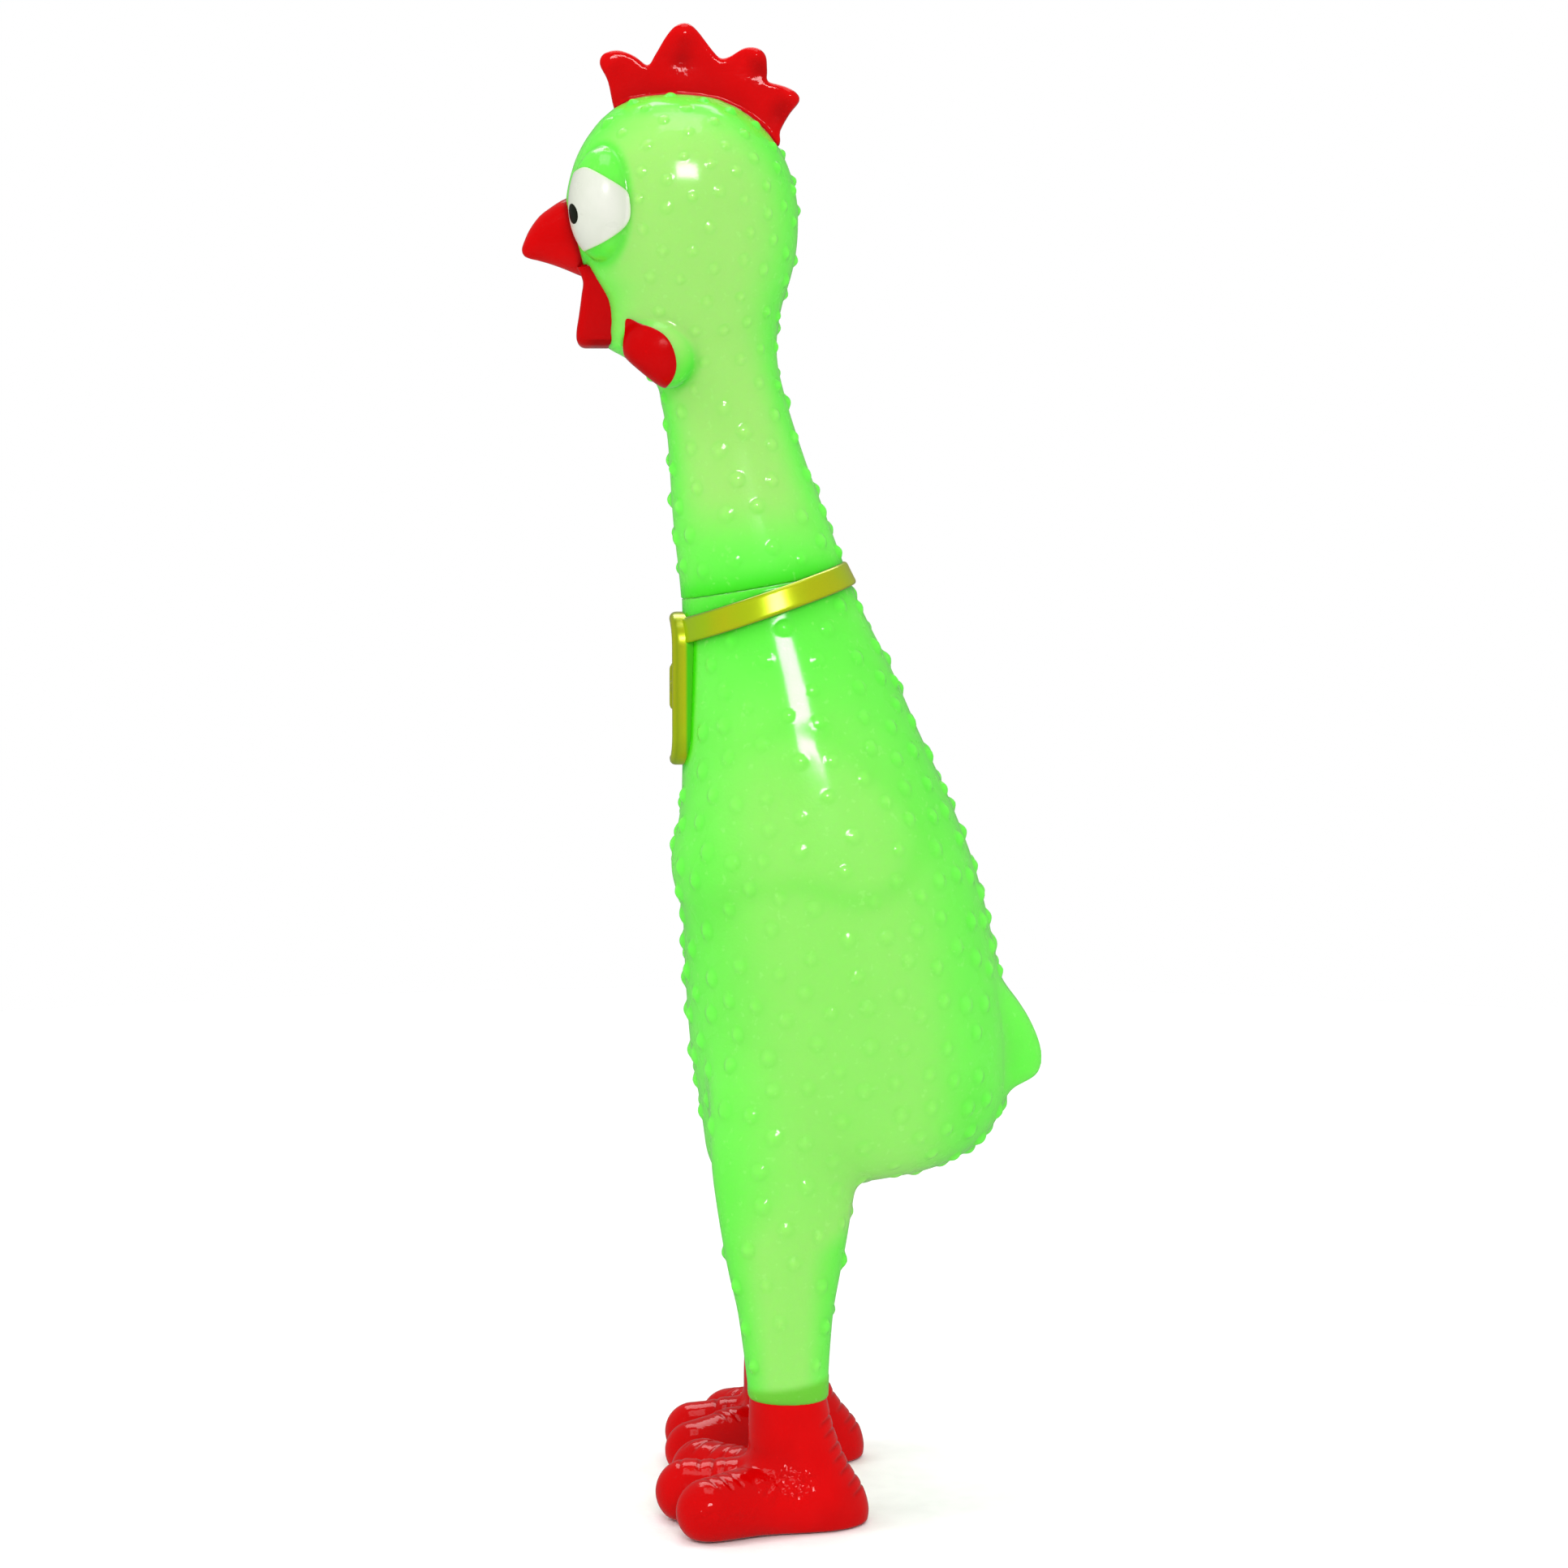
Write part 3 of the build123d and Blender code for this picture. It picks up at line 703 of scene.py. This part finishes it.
# ---------------------------------------------------------------- materials
class Nodes:
    """Builds a node material in few words."""

    def __init__(self, name):
        self.material = bpy.data.materials.new(name)
        self.material.use_nodes = True
        self.tree = self.material.node_tree
        self.shader = self.tree.nodes["Principled BSDF"]
        self.place = self.tree.nodes.new("ShaderNodeTexCoord").outputs["Object"]

    def add(self, kind, **values):
        node = self.tree.nodes.new(kind)
        for key, value in values.items():
            setattr(node, key, value)
        return node

    def link(self, a, b):
        self.tree.links.new(a, b)

    def noise(self, scale, detail=3.0):
        node = self.add("ShaderNodeTexNoise")
        node.inputs["Scale"].default_value = scale
        node.inputs["Detail"].default_value = detail
        self.link(self.place, node.inputs["Vector"])
        return node.outputs["Fac"]

    def cells(self, scale):
        node = self.add("ShaderNodeTexVoronoi")
        node.inputs["Scale"].default_value = scale
        self.link(self.place, node.inputs["Vector"])
        return node.outputs["Distance"]

    def spread(self, value, low, high, to_low=0.0, to_high=1.0):
        node = self.add("ShaderNodeMapRange", interpolation_type="SMOOTHSTEP")
        for key, number in (
            ("From Min", low), ("From Max", high), ("To Min", to_low), ("To Max", to_high),
        ):
            node.inputs[key].default_value = number
        self.link(value, node.inputs["Value"])
        return node.outputs["Result"]

    def mix(self, factor, a, b):
        node = self.add("ShaderNodeMix", data_type="RGBA")
        sockets = [s for s in node.inputs if s.type == "RGBA"]
        self.link(factor, node.inputs[0])
        for socket, value in zip(sockets, (a, b)):
            if isinstance(value, tuple):
                socket.default_value = (*value, 1.0)
            else:
                self.link(value, socket)
        return next(s for s in node.outputs if s.type == "RGBA")

    def stored(self, name):
        return self.add("ShaderNodeAttribute", attribute_name=name).outputs["Fac"]

    def math(self, operation, a, b):
        node = self.add("ShaderNodeMath", operation=operation)
        for socket, value in zip(node.inputs, (a, b)):
            if isinstance(value, float):
                socket.default_value = value
            else:
                self.link(value, socket)
        return node.outputs[0]

    def bump(self, height, distance, strength=1.0, after=None):
        node = self.add("ShaderNodeBump")
        node.inputs["Distance"].default_value = distance
        node.inputs["Strength"].default_value = strength
        self.link(height, node.inputs["Height"])
        if after:
            self.link(after, node.inputs["Normal"])
        return node.outputs["Normal"]

    def finish(self, color, roughness, normal, **constants):
        self.link(color, self.shader.inputs["Base Color"])
        self.link(roughness, self.shader.inputs["Roughness"])
        self.link(normal, self.shader.inputs["Normal"])
        for name, value in constants.items():
            self.shader.inputs[name.replace("_", " ")].default_value = value
        return self.material


def green_rubber():
    """Soft green vinyl with painted light and shade: paler glow on the flanks, deeper green in
    shade.
    """
    n = Nodes("green_rubber")
    cloud = n.spread(n.noise(22, 2.0), 0.35, 0.65)
    color = n.mix(cloud, (0.112, 0.69, 0.054), (0.135, 0.72, 0.068))
    # Painted light: a paler glow on the flanks, for light passing through the vinyl.
    color = n.mix(n.stored("glow"), color, (0.32, 0.62, 0.145))
    # Painted shade: a deeper green at the seam, round the ribbon, plaque, wing edge, eyes and lobes
    # and under the beak.
    color = n.mix(n.stored("deep_shade"), color, (0.03, 0.62, 0.001))
    color = n.mix(n.stored("band"), color, (0.12, 0.46, 0.022))
    speckle = n.spread(n.noise(620, 2.0), 0.62, 0.74)
    color = n.mix(n.math("MULTIPLY", speckle, 0.2), color, (0.36, 0.78, 0.2))
    # Painted shade: a darker ring round the foot of each nodule.
    color = n.mix(n.math("MULTIPLY", n.stored("nodule_ring_shade"), 0.08), color, (0.08, 0.62, 0.02))
    rough = n.spread(n.noise(160), 0.3, 0.7, 0.20, 0.32)
    normal = n.bump(n.noise(240), 0.0004, 0.3)
    normal = n.bump(n.noise(1500, 2.0), 0.00012, 0.4, normal)
    return n.finish(
        color, rough, normal, Subsurface_Weight=0.8, Subsurface_Scale=0.005,
        Subsurface_Radius=(0.45, 1.0, 0.3), IOR=1.12, Specular_Tint=(0.35, 1.0, 0.25, 1.0),
        Coat_Weight=0.4, Coat_Roughness=0.13, Coat_IOR=1.95,
    )


def red_paint(name, coat, coat_roughness):
    """Thick red paint with painted shade in creases, hollows and under the head, with small dents
    and scuffs.
    """
    n = Nodes(name)
    cloud = n.spread(n.noise(45), 0.35, 0.65)
    color = n.mix(cloud, (0.47, 0.0002, 0.0006), (0.55, 0.0003, 0.0008))
    # Painted shade: darker red in creases, hollows, joins and under the head.
    color = n.mix(n.stored("crease_shade"), color, (0.22, 0.0001, 0.0006))
    fleck = n.spread(n.noise(700, 2.0), 0.64, 0.76)
    color = n.mix(n.math("MULTIPLY", fleck, 0.3), color, (0.62, 0.0006, 0.0012))
    rough = n.spread(n.noise(210), 0.3, 0.7, 0.12, 0.24)
    normal = n.bump(n.noise(170), 0.0006, 0.35)
    normal = n.bump(n.noise(900, 2.0), 0.00014, 0.3, normal)
    scuffs = n.math("SUBTRACT", n.noise(620, 1.0), 0.5)
    scuffs = n.math("MULTIPLY", scuffs, n.stored("scuff"))
    normal = n.bump(scuffs, 0.0011, 1.0, normal)
    n.link(normal, n.shader.inputs["Coat Normal"])
    return n.finish(
        color, rough, normal, IOR=1.12, Specular_Tint=(1.0, 0.3, 0.32, 1.0),
        Coat_Weight=coat, Coat_Roughness=coat_roughness, Coat_IOR=1.75,
    )


def gold_paint():
    """Gold paint with metal flakes over green that shows where thin; painted shade and green glow
    at edges.
    """
    n = Nodes("gold_paint")
    flakes = n.cells(5200)
    shade = n.spread(flakes, 0.1, 0.9)
    color = n.mix(shade, (0.54, 0.58, 0.0012), (0.49, 0.55, 0.0008))
    color = n.mix(n.spread(n.noise(90, 2.0), 0.4, 0.65), color, (0.46, 0.60, 0.0006))
    # Painted shade: darker gold along the ribbon's edges and over the plaque's face, most in its
    # sunk field.
    color = n.mix(n.stored("crease_shade"), color, (0.28, 0.40, 0.0006))
    color = n.mix(n.stored("thin"), color, (0.2, 0.62, 0.0006))
    # The plaque's side next to the body is left without gold and coloured deep green, partly
    # painted light for the green the vinyl casts onto it.
    color = n.mix(n.stored("bare_edge_glow"), color, (0.06, 0.66, 0.001))
    rough = n.spread(n.noise(1800, 2.0), 0.3, 0.7, 0.28, 0.33)
    normal = n.bump(flakes, 0.00003, 0.2)
    normal = n.bump(n.noise(380), 0.0002, 0.12, normal)
    return n.finish(
        color, rough, normal, Metallic=0.5, IOR=1.45, Specular_Tint=(1.0, 0.95, 0.1, 1.0),
        Coat_Weight=0.5, Coat_Roughness=0.2, Coat_IOR=1.65,
    )


def eye_white():
    """White paint with a soft sheen, thin enough at its rim to show the green."""
    n = Nodes("eye_white")
    color = n.mix(n.spread(n.noise(60), 0.35, 0.65), (0.55, 0.575, 0.49), (0.61, 0.62, 0.55))
    color = n.mix(n.stored("rim"), color, (0.48, 0.66, 0.34))
    rough = n.spread(n.noise(300), 0.3, 0.7, 0.26, 0.4)
    normal = n.bump(n.noise(260), 0.0004, 0.3)
    return n.finish(color, rough, normal, IOR=1.42, Coat_Weight=0.15, Coat_Roughness=0.15)


def plain_paint(name, dark, light, rough_low, rough_high, **constants):
    """Paint or plastic with slight clouding and a fine grain."""
    n = Nodes(name)
    color = n.mix(n.spread(n.noise(150), 0.35, 0.65), dark, light)
    rough = n.spread(n.noise(420), 0.3, 0.7, rough_low, rough_high)
    normal = n.bump(n.noise(600), 0.0002, 0.4)
    return n.finish(color, rough, normal, **constants)


green = green_rubber()
red = red_paint("red_paint", 0.22, 0.05)
red_satin = red_paint("red_satin_paint", 0.06, 0.25)
gold = gold_paint()
white = eye_white()
black = plain_paint("pupil_black", (0.004, 0.005, 0.003), (0.009, 0.011, 0.006), 0.3, 0.45,
                    IOR=1.12)
bush_rubber = plain_paint("squeaker_bush_rubber", (0.50, 0.52, 0.46), (0.62, 0.64, 0.56),
                          0.34, 0.52, Subsurface_Weight=0.3, Subsurface_Scale=0.001)
plastic = plain_paint("squeaker_plastic", (0.70, 0.71, 0.66), (0.80, 0.81, 0.75), 0.2, 0.38,
                      Subsurface_Weight=0.2, Subsurface_Scale=0.001)
film = plain_paint("reed_film", (0.60, 0.56, 0.40), (0.72, 0.68, 0.52), 0.15, 0.3, IOR=1.55)


def dress(obj, material):
    """Gives a piece its material."""
    obj.data.materials.clear()
    obj.data.materials.append(material)


# ---------------------------------------------------------------- pieces
def make_body():
    """Torso, wings, tail and legs in one moulding with nodules."""
    low = (-27, -35.5, sleeve_end - 2)
    high = (59, 35.5, 207)
    skin, points, normals = solid("body_skin", body_field, low, high, VOXEL_BODY)
    x, y, z = points.T
    side = np.abs(y)
    across = across_ribbon(x, z)
    to_medal = medal_edge(side, z)
    on_chest = x < -12

    # Smooth places: the collar, the ends of the legs, round the plaque, the tail's edge, the inner
    # sides of the legs and the front where they leave the belly.
    collar = (across >= -4.5) | (over_seam(points.T) > -1.2)
    leg_ends = z < 33
    behind_medal = on_chest & (to_medal < 5.0) & (z < 200)
    tail_edge = (outline(x, z, tail_outline) < 1.5) & (x > 44)
    inner_leg = (z < 66) & (side < 20)
    low_front = (z > 58) & (z < 84) & (x < -8)
    allowed = ~(collar | leg_ends | behind_medal | tail_edge | inner_leg | low_front)

    # The flank is the broad side of the torso and of each leg, where nodules are flatter.
    front, back, _ = curves(z, torso_rows)
    leg_x, _, leg_radius, _ = curves(z, leg_rows)
    on_leg = smooth(74, 58, z)
    middle = (front + back) / 2 * (1 - on_leg) + leg_x * on_leg
    reach = (back - front) / 2 * (1 - on_leg) + leg_radius * on_leg
    flank = smooth(0.97, 0.3, np.abs(x - middle) / reach)
    spacing = body_spacing + 1.2 * smooth(70, 40, z) - 0.3 * smooth(10, 45, x)
    radius = body_radius - 0.3 * smooth(75, 35, z) - 0.5 * flank
    height = body_height * (1 - 0.55 * flank)
    raise_nodules(skin, points, normals, allowed, spacing, radius, height, seed=11)

    # Painted shade: a deeper green under and round the ribbon, along the wing's edge and round the
    # plaque.
    under_ribbon = 0.9 * near(across, 0.3, 5.0)
    wing_edge = 0.16 * near(-outline(x, z, wing_outline), -0.5, 2.6) * smooth(-30, 10, x)
    beside_medal = smooth(2.4, 0.9, to_medal) * on_chest
    deep_shade = np.maximum(np.maximum(under_ribbon, wing_edge), beside_medal)
    store(skin, "deep_shade", np.clip(deep_shade, 0, 1))
    store(skin, "band", 0.9 * smooth(0.9, -0.9, z - band_top(x)))
    # Painted light: a paler glow on the flanks of the torso and legs, for light passing through the
    # vinyl.
    store(skin, "glow",
          (0.6 + 0.12 * on_leg) * flank * smooth(190, 150, z) * smooth(46, 30, x))
    dress(skin, green)
    skin.visible_glossy = False
    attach(skin, "body")
    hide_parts("body_shell")


def make_head():
    """Neck and head in one moulding; on the toy it bends between the two."""
    low = (-50, -25, 193)
    high = (19, 25, 307)
    skin, points, normals = solid("head_skin", head_field, low, high, VOXEL_HEAD)
    x, y, z = points.T
    side = np.abs(y)
    place = (x, side, z)
    over = over_seam(points.T)

    # Smooth places: eyes, lobes, face, under the comb, at the seam and under the chin.
    eye = egg(place, eye_center, tuple(r + 2.6 for r in eye_radii)) < 0
    lobe = egg(place, lobe_center, tuple(r + 1.6 for r in lobe_radii)) < 0
    face = ((x < -33.5) & (z < 298) & (side < 14)) | ((x < -29.0) & (z < 272))
    under_comb = (side < 6.0) & (z > 293)
    allowed = ~(eye | lobe | face | under_comb) & (over > 4.0) & (normals[:, 2] > -0.9)
    flank = smooth(0.4, 0.95, np.abs(normals[:, 1]))
    spacing = head_spacing + 0.9 * smooth(250, 235, z)
    on_neck = smooth(250, 225, z)
    radius = head_radius + 0.5 * on_neck - 0.3 * flank
    height = (head_height + 0.15 * on_neck) * (1 - 0.5 * flank)
    raise_nodules(skin, points, normals, allowed, spacing, radius, height, seed=23)

    # Painted shade: a deeper green at the seam, round and over the eye bulges, under the beak and
    # round the lobes.
    to_eye = egg(place, eye_center, eye_radii)
    lobe_edge = near(egg(place, lobe_center, lobe_radii), 0.0, 1.2)
    deep_shade = np.maximum.reduce([
        0.9 * near(over, 0.0, 3.6),
        0.3 * near(to_eye, 0.6, 0.6) * (x > -42),
        0.55 * near(z, 270.5, 3.0) * smooth(-34, -40, x),
        0.5 * lobe_edge * smooth(-27, -22, x) * smooth(254, 246, z),
        0.22 * smooth(1.0, -0.5, to_eye),
    ])
    store(skin, "deep_shade", np.clip(deep_shade, 0, 1))
    # Painted light: a paler glow on the flanks of the head and neck, kept off the eye bulges.
    store(skin, "glow", 0.9 * flank * smooth(205, 222, z) * smooth(-0.5, 2.5, to_eye))
    store(skin, "band", np.zeros(len(points)))
    dress(skin, green)
    skin.visible_glossy = False
    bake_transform(skin)
    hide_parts("neck_shell", "head_shell")


def make_comb_and_beak():
    """Comb and both halves of the beak, with painted shade where they meet the head."""
    comb, points, _ = solid("comb_skin", comb_field, (-42, -8, 290), (6, 8, 321), VOXEL_COMB)
    # Painted shade at the comb's join with the head and in the hollows under its points.
    shade = 0.8 * near(head_base(tuple(points.T)), 0.1, 0.5)
    for middle_x, middle_z in comb_hollows:
        away = np.hypot(points[:, 0] - middle_x, points[:, 2] - middle_z)
        shade = np.maximum(shade, 0.55 * near(away, 0, 2.6))
    store(comb, "crease_shade", shade)
    beak, points, _ = solid(
        "upper_beak_skin", beak_field, (-58, -11, 263), (-36, 11, 285), VOXEL_BEAK)
    # Painted shade where the beak meets the head.
    store(beak, "crease_shade", 0.8 * near(head_base(tuple(points.T)), 0.1, 0.6))
    jaw, points, _ = solid(
        "lower_beak_skin", jaw_field, (-46, -11, 249), (-35, 11, 268), VOXEL_BEAK)
    # Painted shade: the jaw is darker all over, for the shade under the head, and more in its
    # scoop.
    in_scoop = smooth(-43.5, -40, points[:, 0]) * (np.abs(points[:, 1]) < 7)
    store(jaw, "crease_shade", 0.35 + 0.4 * in_scoop)
    for piece, node, paint in (
        (comb, "comb", red), (beak, "upper_beak", red_satin), (jaw, "lower_beak", red_satin),
    ):
        dress(piece, paint)
        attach(piece, "head")
        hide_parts(node)


def wattle_shade(points):
    """Painted shade: the whole lobe is darkened evenly, as it sits in shade under the head."""
    return "crease_shade", np.full(len(points), 0.35)


def white_shade(points):
    """The white thins out along its outline."""
    edge = -outline(points[:, 0], points[:, 2], white_outline)
    return "rim", 0.7 * near(edge, 0, 0.35)


def make_paired_paint():
    """Red lobes, whites and pupils, left and right."""
    for name, sign in (("left", -1), ("right", 1)):
        low_y, high_y = sorted((sign * 2.5, sign * 25.0))
        kinds = (
            ("wattle", wattle_field, (-36, -21), (239, 259), red_satin, "red_rubber", wattle_shade),
            ("eye", white_field, (-51, -30), (269, 291), white, "eye_white", white_shade),
            ("pupil", pupil_field, (-51, -38), (275, 285), black, "pupil_black", None),
        )
        for kind, field, (low_x, high_x), (low_z, high_z), material, slot, shade in kinds:
            piece, points, _ = solid(
                f"{name}_{kind}_skin", field,
                (low_x, low_y, low_z), (high_x, high_y, high_z), VOXEL_PAINT,
            )
            if shade:
                store(piece, *shade(points))
            dress(piece, material)
            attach(piece, "head")
            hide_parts(f"{name}_{kind}")


def make_ribbon_and_medal():
    """The gold band and plaque."""
    ribbon, points, _ = solid(
        "ribbon_skin", ribbon_field, (-26, -23, 184), (20, 23, 210), VOXEL_RIBBON)
    across = across_ribbon(points[:, 0], points[:, 2])
    # Painted shade along both edges of the ribbon, where it meets the body.
    store(ribbon, "crease_shade", smooth(2.1, 2.75, np.abs(across)))
    store(ribbon, "thin", 0.3 * smooth(-12, -18, points[:, 0]))
    medal, points, _ = solid(
        "medal_skin", medal_field, medal_low - 1.5, medal_high + 1.5, VOXEL_MEDAL)
    # Painted shade over the plaque's face, darkest in the sunk field inside the rim.
    sunk = points[:, 0] - medal_low[0] - medal_bow * points[:, 1] ** 2
    store(medal, "crease_shade", 0.3 * smooth(2.2, 1.2, sunk) + 0.5 * near(sunk, 0.55, 0.4))
    # Painted light: deep green on the plaque's side next to the body, which is left without gold.
    store(medal, "bare_edge_glow", smooth(-21.3, -20.7, points[:, 0]))
    for piece, node in ((ribbon, "ribbon"), (medal, "medal")):
        dress(piece, gold)
        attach(piece, "body")
        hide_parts(node)


def wrinkle(points, center, direction, depth):
    """How far a short crease across the top of a toe moves points inward."""
    length, width, bow = 11.5, 0.45, -0.06
    direction = np.array(direction, float)
    direction /= np.linalg.norm(direction)
    offset = points - np.array(center, float)
    along = offset @ direction
    across = offset - along[:, None] * direction
    across[:, 2] -= bow * along**2
    away = np.linalg.norm(across, axis=1)
    ends = np.clip(1 - (along / (0.5 * length)) ** 2, 0, 1)
    return depth * np.exp(-((away / width) ** 2)) * np.sqrt(ends)


def toe_creases(points, name, sign, rng):
    """How deep the creases over the toes are at each point."""
    y_mid = sign * ankle[1]
    sink = np.zeros(len(points))
    for forward, outward in toe_tips[name]:
        reach = np.hypot(forward, outward)
        direction = (sign * outward / reach, forward / reach, 0)
        for share, depth in crease_places:
            share += rng.uniform(-0.03, 0.03)
            center = (ankle[0] - share * forward, y_mid + sign * share * outward, toe_top)
            sink += wrinkle(points, center, direction, depth)
    return sink


def heel_notches(points, y_mid, rng):
    """How deep the slanted notches up the back of the heel are at each point."""
    heel_middle, heel_radius, _ = curves(points[:, 2], ankle_rows)
    from_heel = points[:, 0] - (heel_middle + heel_radius)
    sink = np.zeros(len(points))
    for height in heel_notch_heights:
        height += rng.uniform(-0.4, 0.4)
        line = points[:, 2] - 0.45 * (points[:, 0] - 10.0) - height
        across = smooth(-3.0, -1.2, from_heel) * near(line, 0, 0.42)
        sink += heel_notch_depth * across * smooth(9.5, 5.0, np.abs(points[:, 1] - y_mid))
    return sink


def dents_in(points, outer, rng):
    """Small dents and bumps on the outer side, in a patch and in a trail along the toe."""
    patch = [(rng.uniform(-6.2, -0.8), rng.uniform(7.6, 12.2)) for _ in range(18)]
    trail = [(rng.uniform(-18, -7), rng.uniform(5.6, 7.6)) for _ in range(8)]
    dents = np.zeros(len(points))
    for middle_x, middle_z in patch + trail:
        away = np.hypot(points[:, 0] - middle_x, points[:, 2] - middle_z)
        size = rng.uniform(0.5, 0.85)
        dents += rng.uniform(-0.2, 0.24) * near(away, 0, size) * outer
    return dents


def scuffed(points, outer):
    """How rough the paint is, in the same patch and trail."""
    x, _, z = points.T
    to_patch = np.hypot(0.6 * (x - 1.0), z - 11.0)
    to_trail = np.hypot(np.clip(np.abs(x + 12.5) - 5.5, 0, None), z - 6.6)
    return np.maximum(smooth(5.0, 1.5, to_patch), 0.5 * smooth(2.6, 0.6, to_trail)) * outer


def make_feet():
    """Red feet with creased toes and heels; on the toy they bend across the ankle."""
    for name, sign, seed in (("left", -1, 5), ("right", 1, 6)):
        y_mid = sign * ankle[1]
        skin, points, normals = solid(
            f"{name}_foot_skin", lambda p, name=name: foot_field(p, name),
            (-29, y_mid - 27, -1), (20, y_mid + 27, sleeve_end + 5), VOXEL_FOOT,
        )
        rng = np.random.default_rng(seed)
        outer = sign * (points[:, 1] - y_mid) > 0
        sink = toe_creases(points, name, sign, rng) + heel_notches(points, y_mid, rng)
        dents = dents_in(points, outer, rng)
        store(skin, "scuff", scuffed(points, outer))
        place_points(skin, points - normals * (sink + dents)[:, None])
        # Painted shade: darker red in the toe creases and heel notches.
        store(skin, "crease_shade", np.clip(sink * 1.2, 0, 0.7))
        dress(skin, red)
        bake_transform(skin)
        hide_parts(f"{name}_foot")


make_body()
make_head()
make_comb_and_beak()
make_paired_paint()
make_ribbon_and_medal()
make_feet()

for node, material, slot in (
    ("squeaker_bush", bush_rubber, "squeaker_plastic"),
    ("squeaker_tube", plastic, "squeaker_plastic"),
    ("reed_holder", plastic, "squeaker_plastic"),
    ("reed_wedge", plastic, "squeaker_plastic"),
    ("reed", film, "reed_film"),
):
    dress(frame["nodes"][node], material)


# ---------------------------------------------------------------- floor, light and camera
light_aim = np.array([0.0, 0.0, 0.17])
softboxes = (                   # name, azimuth, elevation, distance, width, height, watts
    ("key_window", 6, 28.5, 1.6, 0.5, 0.3, 9.2),
    ("overhead", 0, 88, 2.2, 1.2, 1.2, 10),
    ("front_fill", -75, 42, 1.6, 0.5, 0.5, 5),
    ("rear_window", 180, 50, 2.0, 1.5, 0.9, 20),
)
glossy_surround = 0.26          # how bright the white surround is in reflections
floor_radius, floor_drop = 0.75, 0.0002
camera_place = (0.0, -0.8545, 0.2395)
camera_dip = 5.54               # degrees below level
camera_lens, camera_sensor = 90.4, 36.0


def make_floor():
    """A round pale studio floor."""
    mesh = bpy.data.meshes.new("studio_floor")
    sides = 96
    turns = [2 * math.pi * i / sides for i in range(sides)]
    rim = [(floor_radius * math.cos(a), floor_radius * math.sin(a), 0) for a in turns]
    mesh.from_pydata(rim, [], [tuple(range(sides))])
    floor = bpy.data.objects.new("studio_floor", mesh)
    bpy.context.scene.collection.objects.link(floor)
    floor.location.z = -floor_drop
    floor.visible_glossy = False
    mesh.materials.append(
        plain_paint("floor_card", (0.90, 0.90, 0.90), (0.93, 0.93, 0.93), 0.6, 0.7))


def add_softbox(name, azimuth, elevation, distance, width, height, power):
    """A soft rectangular light aimed at the middle of the chicken."""
    light = bpy.data.lights.new(name, "AREA")
    light.shape = "RECTANGLE"
    light.size, light.size_y, light.energy = width, height, power
    obj = bpy.data.objects.new(name, light)
    bpy.context.scene.collection.objects.link(obj)
    a, e = math.radians(azimuth), math.radians(elevation)
    away = np.array([math.sin(a) * math.cos(e), -math.cos(a) * math.cos(e), math.sin(e)])
    obj.location = light_aim + distance * away
    obj.rotation_euler = (math.pi / 2 - e, 0, a)
    return obj


def make_studio():
    """White surround and four softboxes. The fill leaves no reflection, the rear one only that."""
    world = bpy.data.worlds.new("studio_white")
    world.use_nodes = True
    background = world.node_tree.nodes["Background"]
    background.inputs["Color"].default_value = (1, 1, 1, 1)
    ray = world.node_tree.nodes.new("ShaderNodeLightPath")
    strength = world.node_tree.nodes.new("ShaderNodeMapRange")
    strength.inputs["To Min"].default_value = 1.0
    strength.inputs["To Max"].default_value = glossy_surround
    world.node_tree.links.new(ray.outputs["Is Glossy Ray"], strength.inputs["Value"])
    world.node_tree.links.new(strength.outputs["Result"], background.inputs["Strength"])
    bpy.context.scene.world = world
    placed = {row[0]: add_softbox(*row) for row in softboxes}
    placed["front_fill"].visible_glossy = False
    placed["rear_window"].visible_diffuse = False
    bpy.context.scene.view_settings.view_transform = "Standard"


def make_camera():
    """Side view from a little above."""
    data = bpy.data.cameras.new("camera")
    data.sensor_width = camera_sensor
    data.lens = camera_lens
    camera = bpy.data.objects.new("camera", data)
    camera.location = camera_place
    camera.rotation_euler = (math.radians(90 - camera_dip), 0, 0)
    bpy.context.scene.collection.objects.link(camera)
    bpy.context.scene.camera = camera


make_floor()
make_studio()
make_camera()

bpy.context.view_layer.update()
